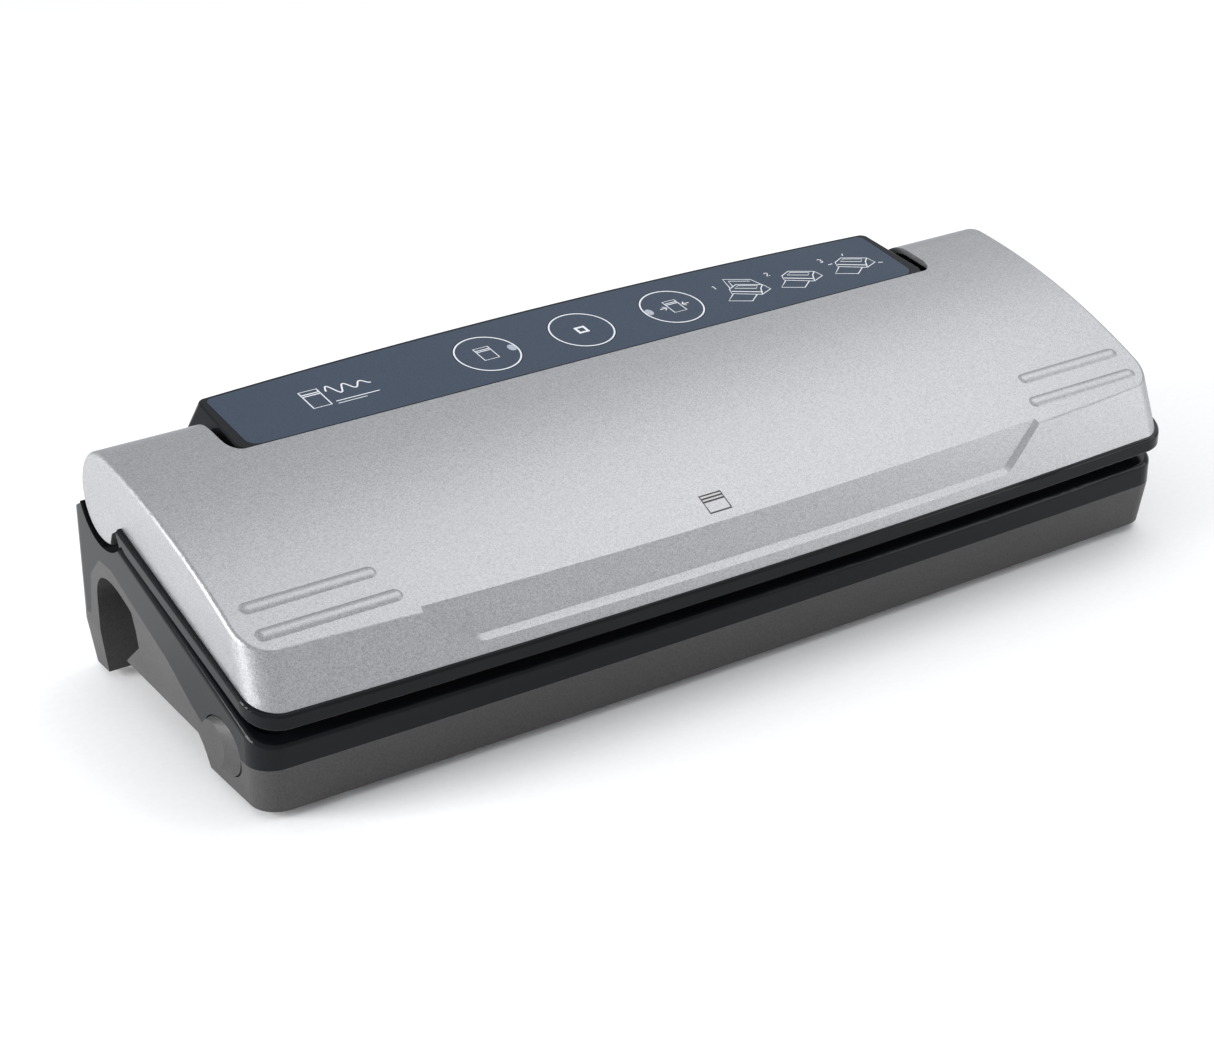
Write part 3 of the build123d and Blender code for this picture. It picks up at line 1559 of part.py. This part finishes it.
# ---------------------------------------------------------------- feet
for name, foot_x, foot_y in (
    ("front_feet", front_foot_x, front_foot_y),
    ("rear_feet", rear_foot_x, rear_foot_y),
):
    with BuildPart() as feet:
        with BuildSketch(Plane.XY) as foot_outline:
            with Locations((-foot_x, foot_y), (foot_x, foot_y)):
                Circle(foot_radius)
        extrude(foot_outline.sketch, amount=foot_height + foot_inset)
        fillet(feet.faces().sort_by(Axis.Z)[:2].edges(), 0.8)
    feet.part.label = name
    export_step(feet.part, f"parts/{name}.step")

# ---------------------------------------------------------------- screws
with BuildPart() as case_screws:
    screw_spots = [(x, y) for x in (-100, 0, 100) for y in (-45, 58)]
    with BuildSketch(Plane.XY.offset(foot_height - 0.8)) as head_outline:
        with Locations(*screw_spots):
            Circle(screw_head_radius)
            RegularPolygon(1.1, 6, mode=Mode.SUBTRACT)
    extrude(head_outline.sketch, amount=0.8)
    with BuildSketch(Plane.XY.offset(foot_height - 0.2)) as shank_outline:
        with Locations(*screw_spots):
            Circle(screw_radius)
    extrude(shank_outline.sketch, amount=7.2)

case_screws.part.label = "case_screws"
export_step(case_screws.part, "parts/case_screws.step")

with BuildPart() as lid_screws:
    lid_spots = [(x, v) for x in (-150, -75, 0, 75, 150) for v in (45.0,)]
    with BuildSketch(lid_plane.offset(liner_under)) as lid_heads:
        with Locations(*lid_spots):
            Circle(screw_head_radius)
            RegularPolygon(1.1, 6, mode=Mode.SUBTRACT)
    extrude(lid_heads.sketch, amount=-screw_head_height)

lid_screws.part.label = "lid_screws"
export_step(lid_screws.part, "parts/lid_screws.step")
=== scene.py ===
"""Looks of the countertop vacuum sealer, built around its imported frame.

Metres, in the same frame as the CAD.
"""
import json
import math

import bpy
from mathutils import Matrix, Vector


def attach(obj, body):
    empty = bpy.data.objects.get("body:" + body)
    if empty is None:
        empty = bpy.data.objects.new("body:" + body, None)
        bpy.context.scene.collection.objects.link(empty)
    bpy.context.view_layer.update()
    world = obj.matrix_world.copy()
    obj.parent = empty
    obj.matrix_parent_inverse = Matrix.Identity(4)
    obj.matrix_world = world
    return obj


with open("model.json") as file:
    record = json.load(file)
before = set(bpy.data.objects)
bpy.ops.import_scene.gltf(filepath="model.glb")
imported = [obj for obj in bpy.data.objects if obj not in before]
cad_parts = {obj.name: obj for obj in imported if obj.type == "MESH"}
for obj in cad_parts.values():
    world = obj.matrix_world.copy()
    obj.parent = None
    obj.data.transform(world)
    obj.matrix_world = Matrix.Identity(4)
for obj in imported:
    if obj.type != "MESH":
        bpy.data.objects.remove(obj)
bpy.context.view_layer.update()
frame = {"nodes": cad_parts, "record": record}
scene = bpy.context.scene
nodes = frame["nodes"]

# ------------------------------------------------------------------ shared sizes, metres
CONSOLE_FRONT = Vector((0, 0.0258, 0.0826))
CONSOLE_SLOPE = math.radians(8.0)
CONSOLE_UP = Vector((0, -math.sin(CONSOLE_SLOPE), math.cos(CONSOLE_SLOPE)))
CONSOLE_BACK = Vector((0, math.cos(CONSOLE_SLOPE), math.sin(CONSOLE_SLOPE)))
KEY_V = 0.0186
KEY_RADIUS = 0.012
KEY_X = (-0.0379, 0.0010, 0.0399)
PRINT_LIFT = 0.00003         # printed marks stand this far off the panel
LID_PRINT_LIFT = 0.00004
MM = 0.001


# ------------------------------------------------------------------ materials
def new_material(name):
    mat = bpy.data.materials.new(name)
    mat.use_nodes = True
    tree = mat.node_tree
    tree.nodes.clear()
    out = tree.nodes.new("ShaderNodeOutputMaterial")
    shader = tree.nodes.new("ShaderNodeBsdfPrincipled")
    tree.links.new(shader.outputs["BSDF"], out.inputs["Surface"])
    coords = tree.nodes.new("ShaderNodeTexCoord")
    return mat, tree, shader, coords.outputs["Object"]


def noise(tree, coords, scale, detail=2.0, rough=0.5, stretch=None):
    node = tree.nodes.new("ShaderNodeTexNoise")
    node.inputs["Scale"].default_value = scale
    node.inputs["Detail"].default_value = detail
    node.inputs["Roughness"].default_value = rough
    if stretch:
        mapping = tree.nodes.new("ShaderNodeMapping")
        mapping.inputs["Scale"].default_value = stretch
        tree.links.new(coords, mapping.inputs["Vector"])
        coords = mapping.outputs["Vector"]
    tree.links.new(coords, node.inputs["Vector"])
    return node.outputs["Fac"]


def cells(tree, coords, scale):
    node = tree.nodes.new("ShaderNodeTexVoronoi")
    node.inputs["Scale"].default_value = scale
    tree.links.new(coords, node.inputs["Vector"])
    split = tree.nodes.new("ShaderNodeSeparateColor")
    tree.links.new(node.outputs["Color"], split.inputs["Color"])
    return split.outputs["Red"]


def spread(tree, value, low, high, start=0.3, stop=0.7):
    node = tree.nodes.new("ShaderNodeMapRange")
    node.inputs["From Min"].default_value = start
    node.inputs["From Max"].default_value = stop
    node.inputs["To Min"].default_value = low
    node.inputs["To Max"].default_value = high
    tree.links.new(value, node.inputs["Value"])
    return node.outputs["Result"]


def tint(tree, value, dark, light):
    node = tree.nodes.new("ShaderNodeMix")
    node.data_type = "RGBA"
    node.inputs["A"].default_value = (*dark, 1)
    node.inputs["B"].default_value = (*light, 1)
    tree.links.new(value, node.inputs["Factor"])
    return node.outputs["Result"]


def bump(tree, shader, heights):
    """Adds bumps in turn: each is (height, strength, distance)."""
    last = None
    for height, strength, distance in heights:
        node = tree.nodes.new("ShaderNodeBump")
        node.inputs["Strength"].default_value = strength
        node.inputs["Distance"].default_value = distance
        tree.links.new(height, node.inputs["Height"])
        if last:
            tree.links.new(last, node.inputs["Normal"])
        last = node.outputs["Normal"]
    tree.links.new(last, shader.inputs["Normal"])


def shade(color, gain):
    return tuple(min(1.0, c * gain) for c in color)


MOTTLE = 30.0


def finish(
    name,
    color,
    rough=0.4,
    rough_spread=0.06,
    color_spread=0.08,
    grain=900.0,
    grain_depth=0.00002,
    grain_strength=0.3,
    metallic=0.0,
    stretch=None,
    sheen=0.0,
):
    """General finish: fine grain in the colour and the bump, a broad drift in the gloss."""
    mat, tree, shader, coords = new_material(name)
    broad = noise(tree, coords, MOTTLE, 4.0, 0.6)
    fine = noise(tree, coords, grain, 2.0, 0.55, stretch)
    tree.links.new(
        tint(
            tree,
            spread(tree, fine, 0.0, 1.0, 0.35, 0.65),
            shade(color, 1 - color_spread),
            shade(color, 1 + color_spread),
        ),
        shader.inputs["Base Color"],
    )
    tree.links.new(
        spread(tree, broad, rough - rough_spread, rough + rough_spread),
        shader.inputs["Roughness"],
    )
    bump(tree, shader, [(fine, grain_strength, grain_depth)])
    shader.inputs["Metallic"].default_value = metallic
    if sheen:
        shader.inputs["Sheen Weight"].default_value = sheen
    return mat


def silver_paint():
    """Metallic paint: fine flakes under a satin clear coat, with faint orange peel."""
    mat, tree, shader, coords = new_material("silver_paint")
    flakes = cells(tree, coords, 3400.0)
    fine = noise(tree, coords, 2600.0, 2.0, 0.6)
    broad = noise(tree, coords, 22.0, 3.0, 0.5)
    both = tree.nodes.new("ShaderNodeMath")
    both.operation = "MULTIPLY_ADD"
    both.inputs[1].default_value = 0.5
    tree.links.new(flakes, both.inputs[0])
    tree.links.new(fine, both.inputs[2])
    tree.links.new(
        tint(
            tree,
            spread(tree, both.outputs["Value"], 0.0, 1.0, 0.4, 1.1),
            (0.27, 0.272, 0.282),
            (0.47, 0.473, 0.488),
        ),
        shader.inputs["Base Color"],
    )
    tree.links.new(
        spread(tree, flakes, 0.36, 0.46, 0.0, 1.0), shader.inputs["Roughness"]
    )
    bump(
        tree,
        shader,
        [(broad, 0.04, 0.0004), (flakes, 0.10, 0.00002), (fine, 0.12, 0.00002)],
    )
    shader.inputs["Metallic"].default_value = 0.85
    shader.inputs["Coat Weight"].default_value = 0.15
    shader.inputs["Coat Roughness"].default_value = 0.35
    return mat


def black_gloss():
    """Polished moulding with the faint handling haze and hairlines it picks up."""
    mat, tree, shader, coords = new_material("black_gloss")
    haze = noise(tree, coords, 55.0, 5.0, 0.65)
    hair = noise(tree, coords, 420.0, 2.0, 0.5, (0.12, 1.0, 1.0))
    tree.links.new(
        tint(tree, haze, (0.0044, 0.0050, 0.0064), (0.0070, 0.0078, 0.0096)),
        shader.inputs["Base Color"],
    )
    tree.links.new(spread(tree, haze, 0.10, 0.18), shader.inputs["Roughness"])
    bump(tree, shader, [(haze, 0.03, 0.0001), (hair, 0.03, 0.00002)])
    shader.inputs["Specular IOR Level"].default_value = 0.15
    return mat


def charcoal_shell():
    """Spark-textured moulding: fine pits, slightly polished where it is handled."""
    mat, tree, shader, coords = new_material("charcoal_shell")
    pits = noise(tree, coords, 1700.0, 3.0, 0.6)
    worn = noise(tree, coords, 26.0, 4.0, 0.6)
    tree.links.new(
        tint(
            tree,
            spread(tree, pits, 0.0, 1.0, 0.35, 0.65),
            (0.026, 0.0245, 0.0250),
            (0.046, 0.0435, 0.0445),
        ),
        shader.inputs["Base Color"],
    )
    tree.links.new(spread(tree, worn, 0.40, 0.52), shader.inputs["Roughness"])
    bump(tree, shader, [(pits, 0.35, 0.00003)])
    return mat


def slate_film():
    """Printed overlay: matte hard coat with a fine sandy grain."""
    mat, tree, shader, coords = new_material("slate_film")
    sand = noise(tree, coords, 2600.0, 2.0, 0.6)
    broad = noise(tree, coords, 40.0, 3.0, 0.5)
    tree.links.new(
        tint(
            tree,
            spread(tree, sand, 0.0, 1.0, 0.3, 0.7),
            (0.022, 0.036, 0.060),
            (0.042, 0.062, 0.096),
        ),
        shader.inputs["Base Color"],
    )
    tree.links.new(spread(tree, broad, 0.38, 0.46), shader.inputs["Roughness"])
    bump(tree, shader, [(sand, 0.3, 0.00002)])
    shader.inputs["Specular IOR Level"].default_value = 0.25
    return mat


materials = {
    "silver_paint": silver_paint(),
    "black_gloss": black_gloss(),
    "charcoal_shell": charcoal_shell(),
    "slate_film": slate_film(),
    "circuit_board": finish("circuit_board", (0.02, 0.13, 0.05), 0.35, 0.08, 0.2, 700),
    "dark_plastic": finish("dark_plastic", (0.022, 0.022, 0.024), 0.45, 0.06, 0.2, 1400),
    "bar_plastic": finish("bar_plastic", (0.16, 0.15, 0.14), 0.5, 0.06, 0.12, 1100),
    "heating_metal": finish(
        "heating_metal", (0.55, 0.52, 0.47), 0.3, 0.08, 0.12, 900, metallic=1.0,
        stretch=(0.03, 1, 1),
    ),
    "release_cloth": finish(
        "release_cloth", (0.27, 0.17, 0.085), 0.42, 0.08, 0.25, 1600,
        grain_depth=0.00006, grain_strength=0.6,
    ),
    "grey_rubber": finish(
        "grey_rubber", (0.055, 0.055, 0.06), 0.8, 0.06, 0.25, 1300,
        grain_depth=0.00008, grain_strength=0.6, sheen=0.2,
    ),
    "red_rubber": finish(
        "red_rubber", (0.25, 0.035, 0.028), 0.6, 0.06, 0.15, 1100,
        grain_depth=0.00005, grain_strength=0.5,
    ),
    "hose_rubber": finish("hose_rubber", (0.55, 0.55, 0.5), 0.4, 0.08, 0.08, 700),
    "foot_rubber": finish("foot_rubber", (0.62, 0.62, 0.6), 0.5, 0.08, 0.06, 900, sheen=0.1),
    "white_plastic": finish("white_plastic", (0.66, 0.65, 0.61), 0.4, 0.06, 0.05, 900),
    "relay_plastic": finish("relay_plastic", (0.03, 0.09, 0.3), 0.3, 0.06, 0.1, 800),
    "motor_steel": finish(
        "motor_steel", (0.42, 0.42, 0.43), 0.35, 0.08, 0.12, 700, metallic=1.0,
        stretch=(0.2, 1, 1),
    ),
    "copper_coil": finish(
        "copper_coil", (0.48, 0.2, 0.07), 0.35, 0.08, 0.2, 900, metallic=0.9,
        stretch=(1, 1, 6),
    ),
    "screw_steel": finish("screw_steel", (0.5, 0.5, 0.51), 0.32, 0.08, 0.1, 900, metallic=1.0),
    "lens_plastic": finish("lens_plastic", (0.36, 0.40, 0.46), 0.3, 0.05, 0.06, 1200),
    "mark_brown": finish("mark_brown", (0.028, 0.022, 0.020), 0.5, 0.05, 0.12, 2200),
    "print_white": finish("print_white", (0.72, 0.74, 0.77), 0.5, 0.05, 0.08, 2200),
}
SHARP_ANGLE = math.radians(28)


def crisp(obj):
    """Modifiers that shade flat faces flat and rounded ones smooth."""
    split = obj.modifiers.new("crisp", "EDGE_SPLIT")
    split.split_angle = SHARP_ANGLE
    split.use_edge_sharp = False
    weighted = obj.modifiers.new("weighted", "WEIGHTED_NORMAL")
    weighted.mode = "FACE_AREA"
    weighted.weight = 50


for entry in frame["record"]["subparts"]:
    obj = nodes[entry["node"]]
    crisp(obj)
    obj.data.materials.clear()
    obj.data.materials.append(materials[entry["material_slot"]])


# ------------------------------------------------------------------ printed marks on the panel
def on_panel(x, v):
    """Point on the panel: x along it, v up its slope from the front edge."""
    point = CONSOLE_FRONT + CONSOLE_BACK * v + CONSOLE_UP * PRINT_LIFT
    return Vector((x, point.y, point.z))


def add_mesh(name, verts, faces, material, body):
    mesh = bpy.data.meshes.new(name)
    mesh.from_pydata([tuple(v) for v in verts], [], faces)
    mesh.validate()
    obj = bpy.data.objects.new(name, mesh)
    scene.collection.objects.link(obj)
    mesh.materials.append(material)
    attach(obj, body)
    return obj


def stroke(points, width, closed=False, place=on_panel):
    """Flat ribbon along points on a surface: returns vertices and quads."""
    count = len(points)
    verts, faces = [], []
    for i, (x, v) in enumerate(points):
        before = points[(i - 1) % count] if closed or i > 0 else points[i]
        after = points[(i + 1) % count] if closed or i < count - 1 else points[i]
        dx, dv = after[0] - before[0], after[1] - before[1]
        length = math.hypot(dx, dv) or 1.0
        nx, nv = -dv / length * width / 2, dx / length * width / 2
        verts.append(place(x + nx, v + nv))
        verts.append(place(x - nx, v - nv))
    last = count if closed else count - 1
    for i in range(last):
        a, b = 2 * i, 2 * ((i + 1) % count)
        faces.append((a, b, b + 1, a + 1))
    return verts, faces


def arc(cx, cv, radius, start, stop, steps=24):
    return [
        (
            cx + radius * math.cos(math.radians(start + (stop - start) * i / steps)),
            cv + radius * math.sin(math.radians(start + (stop - start) * i / steps)),
        )
        for i in range(steps + 1)
    ]


def print_strokes(
    name, strokes, body, place=on_panel, material="print_white"
):
    """One printed piece from several ribbons: each is (points, width, closed)."""
    verts, faces = [], []
    for points, width, closed in strokes:
        more, quads = stroke(points, width, closed, place)
        base = len(verts)
        verts += more
        faces += [tuple(i + base for i in quad) for quad in quads]
    return add_mesh(name, verts, faces, materials[material], body)


RING_WIDTH = 0.0006
RING_INSET = 0.0004
RING_STEPS = 96
for name, body, x in zip(
    ("seal_ring", "stop_ring", "vacuum_ring"),
    ("seal_button", "stop_button", "vacuum_button"),
    KEY_X,
):
    circle = arc(
        x, KEY_V, KEY_RADIUS - RING_INSET, 0, 360 - 360 / RING_STEPS, RING_STEPS - 1
    )
    print_strokes(name, [(circle, RING_WIDTH, True)], body)

# Generic step pictures: an appliance seen at a slant with a sheet in front of it.
# Their outlines are in millimetres, along the panel and up it.
STEP_X = (0.0668, 0.0908, 0.1158)
STEP_LINE = 0.00042
SLOT_GAIN = 1.4
DIGIT_LINE = 0.0004
DIGIT_SHIFT = 0.0045
DIGIT_V = 0.0237
DIGITS = {
    1: [[(-0.4, 0.8), (0.1, 1.2), (0.1, -1.2)]],
    2: [[(-0.7, 0.7), (-0.2, 1.2), (0.5, 1.1), (0.7, 0.5), (-0.7, -1.2), (0.8, -1.2)]],
    3: [
        [(-0.7, 1.1), (0.3, 1.2), (0.7, 0.7), (0.4, 0.1), (-0.1, 0.0)],
        [(-0.1, 0.0), (0.6, -0.2), (0.7, -0.8), (0.2, -1.2), (-0.7, -1.1)],
    ],
}
APPLIANCE = [(0.0, 20.3), (4.3, 22.3), (13.3, 18.0), (14.1, 14.0), (8.7, 11.8), (-1.2, 17.2)]
APPLIANCE_TOP = [(2.2, 20.1), (4.6, 21.2), (11.2, 18.1), (9.4, 16.6)]
APPLIANCE_SIDE = [(13.3, 18.0), (11.0, 15.9), (8.7, 11.8)]
APPLIANCE_SLOT = [(-0.2, 18.6), (10.0, 13.3)]
SHEET = [(-0.6, 17.0), (-5.5, 13.1), (2.4, 9.3), (7.0, 12.7)]
OPEN_LID = [(0.6, 20.4), (2.2, 27.6), (11.6, 23.2), (13.0, 18.2)]
OPEN_LID_INNER = [(2.4, 21.6), (3.3, 25.6), (10.6, 22.2)]
SPARKS = [[(-3.6, 19.8), (-1.6, 19.9)], [(15.0, 13.2), (16.8, 12.6)], [(6.0, 23.4), (6.8, 24.8)]]


def at(points, x):
    return [(x + px * MM, pv * MM) for px, pv in points]


def step_picture(number):
    x = STEP_X[number - 1]
    strokes = [
        (at(APPLIANCE, x), STEP_LINE, True),
        (at(APPLIANCE_TOP, x), STEP_LINE, True),
        (at(APPLIANCE_SIDE, x), STEP_LINE, False),
        (at(APPLIANCE_SLOT, x), STEP_LINE * SLOT_GAIN, False),
        (at(SHEET, x), STEP_LINE, False),
    ]
    if number == 1:
        strokes.append((at(OPEN_LID, x), STEP_LINE, False))
        strokes.append((at(OPEN_LID_INNER, x), STEP_LINE, False))
    if number == 3:
        strokes += [(at(line, x), STEP_LINE, False) for line in SPARKS]
    for line in DIGITS[number]:
        digit = [(x - DIGIT_SHIFT + px * MM, DIGIT_V + pv * MM) for px, pv in line]
        strokes.append((digit, DIGIT_LINE, False))
    return strokes


for number in (1, 2, 3):
    print_strokes(f"step_{number}", step_picture(number), "base")


def box_line(x, v, width, height):
    return [
        (x - width / 2, v - height / 2),
        (x + width / 2, v - height / 2),
        (x + width / 2, v + height / 2),
        (x - width / 2, v + height / 2),
    ]


def pouch(x, v, width, height, line):
    """Generic pouch: outline, folded mouth and seal line."""
    mouth = v + height * 0.32
    return [
        (box_line(x, v, width, height), line, True),
        ([(x - width / 2, mouth), (x + width / 2, mouth)], line, False),
        ([(x - width / 2, mouth - 2 * line), (x + width / 2, mouth - 2 * line)], line, False),
    ]


# Key pictures: a pouch, a square, and a pouch between two arrows
ICON_LINE = 0.00045
ICON_HEIGHT = 0.0082
SEAL_ICON = (-0.0382, KEY_V + 0.0004)
STOP_SQUARE = 0.0034
STOP_LINE = 0.0014
VACUUM_X = 0.0410
ARROW_TIP, ARROW_TAIL = 0.0034, 0.0062
BARB, BARB_RISE = 0.0012, 0.0013

print_strokes("seal_icon", pouch(*SEAL_ICON, 0.0058, ICON_HEIGHT, ICON_LINE), "seal_button")
print_strokes(
    "stop_icon",
    [(box_line(KEY_X[1], KEY_V, STOP_SQUARE, STOP_SQUARE), STOP_LINE, True)],
    "stop_button",
)
vacuum_strokes = pouch(VACUUM_X, KEY_V, 0.0052, ICON_HEIGHT, ICON_LINE)
for side in (-1, 1):
    tip = VACUUM_X + side * ARROW_TIP
    tail = VACUUM_X + side * ARROW_TAIL
    barb = tip + side * BARB
    head = [(barb, KEY_V + BARB_RISE), (tip, KEY_V), (barb, KEY_V - BARB_RISE)]
    vacuum_strokes.append(([(tail, KEY_V), (tip, KEY_V)], ICON_LINE, False))
    vacuum_strokes.append((head, ICON_LINE, False))
print_strokes("vacuum_icon", vacuum_strokes, "vacuum_button")

# Generic mark at the panel's left end: a pouch beside a flourish and a rule
wave = [
    (-0.1000 + 0.0165 * i / 60, 0.0205 + 0.0032 * math.sin(i / 60 * 5.5 * math.pi) * (1 - i / 90))
    for i in range(61)
]
panel_mark = pouch(-0.1055, 0.0180, 0.0068, 0.0110, 0.00055)
panel_mark += [
    (wave, 0.0006, False),
    ([(-0.1000, 0.0135), (-0.0835, 0.0135)], 0.00045, False),
    ([(-0.1000, 0.0120), (-0.0890, 0.0120)], 0.00035, False),
]
print_strokes("panel_mark", panel_mark, "base")

# Small generic mark on the lid, in place of a maker's
HINGE_Y, HINGE_Z, REAR_RADIUS = 0.0420, 0.0702, 0.0154
TANGENT = math.radians(95.7)
CREASE = (-0.0580, 0.0556)
ARC_START = (HINGE_Y + REAR_RADIUS * math.cos(TANGENT), HINGE_Z + REAR_RADIUS * math.sin(TANGENT))
chord = (CREASE[0] - ARC_START[0], CREASE[1] - ARC_START[1])
chord_lean = chord[0] * math.cos(TANGENT) + chord[1] * math.sin(TANGENT)
TOP_RADIUS = -(chord[0] ** 2 + chord[1] ** 2) / (2 * chord_lean)
TOP_CENTRE = (
    ARC_START[0] - TOP_RADIUS * math.cos(TANGENT),
    ARC_START[1] - TOP_RADIUS * math.sin(TANGENT),
)


def on_lid(x, y):
    """Point on the lid's top arc."""
    rise = math.sqrt((TOP_RADIUS + LID_PRINT_LIFT) ** 2 - (y - TOP_CENTRE[0]) ** 2)
    return Vector((x, y, TOP_CENTRE[1] + rise))


lid_pouch = pouch(-0.0106, -0.0512, 0.0085, 0.0066, 0.0006)
print_strokes("lid_mark", lid_pouch, "lid", on_lid, "mark_brown")

# ------------------------------------------------------------------ camera, floor and light
TARGET = Vector((0.0, 0.0270, 0.01758))
CAMERA_AZIMUTH = math.radians(-34.35)
CAMERA_ELEVATION = math.radians(26.03)
CAMERA_DISTANCE = 0.96511
LENS_MM = 80.2527
SENSOR_MM = 36.0
back = Vector(
    (
        math.sin(CAMERA_AZIMUTH) * math.cos(CAMERA_ELEVATION),
        -math.cos(CAMERA_AZIMUTH) * math.cos(CAMERA_ELEVATION),
        math.sin(CAMERA_ELEVATION),
    )
)
camera_data = bpy.data.cameras.new("camera")
camera_data.sensor_width = SENSOR_MM
camera_data.lens = LENS_MM
camera_data.clip_start = 0.01
camera = bpy.data.objects.new("camera", camera_data)
camera.location = TARGET + back * CAMERA_DISTANCE
camera.rotation_mode = "QUATERNION"
camera.rotation_quaternion = (-back).to_track_quat("-Z", "Y")
scene.collection.objects.link(camera)
scene.camera = camera

FLOOR_HALF = 4
floor_mesh = bpy.data.meshes.new("floor")
floor_mesh.from_pydata(
    [
        (-FLOOR_HALF, -FLOOR_HALF, 0),
        (FLOOR_HALF, -FLOOR_HALF, 0),
        (FLOOR_HALF, FLOOR_HALF, 0),
        (-FLOOR_HALF, FLOOR_HALF, 0),
    ],
    [],
    [(0, 1, 2, 3)],
)
floor = bpy.data.objects.new("floor", floor_mesh)
scene.collection.objects.link(floor)
floor_mesh.materials.append(
    finish("floor_paper", (0.96, 0.96, 0.96), 0.7, 0.03, 0.01, 400, 0.00001, 0.05)
)

world = bpy.data.worlds.new("studio")
world.use_nodes = True
world.node_tree.nodes["Background"].inputs["Color"].default_value = (0.95, 0.97, 1.0, 1)
world.node_tree.nodes["Background"].inputs["Strength"].default_value = 0.75
scene.world = world
scene.view_settings.view_transform = "Standard"


def softbox(name, place, aim, width, height, power):
    """Rectangular area light at place, turned to aim; power in watts."""
    data = bpy.data.lights.new(name, "AREA")
    data.shape = "RECTANGLE"
    data.size, data.size_y = width, height
    data.energy = power
    lamp = bpy.data.objects.new(name, data)
    lamp.location = place
    lamp.rotation_mode = "QUATERNION"
    lamp.rotation_quaternion = (Vector(aim) - Vector(place)).to_track_quat("-Z", "Y")
    scene.collection.objects.link(lamp)
    return lamp


softbox("top_box", (0.75, 0.0, 1.25), (0.1, 0, 0.05), 1.2, 1.1, 6.5)
softbox("left_box", (-1.3, 0.25, 0.45), (0, 0, 0.05), 0.7, 0.6, 19.0)
softbox("right_box", (1.05, -0.75, 0.35), (0.1, 0, 0.05), 0.8, 0.5, 3.0)
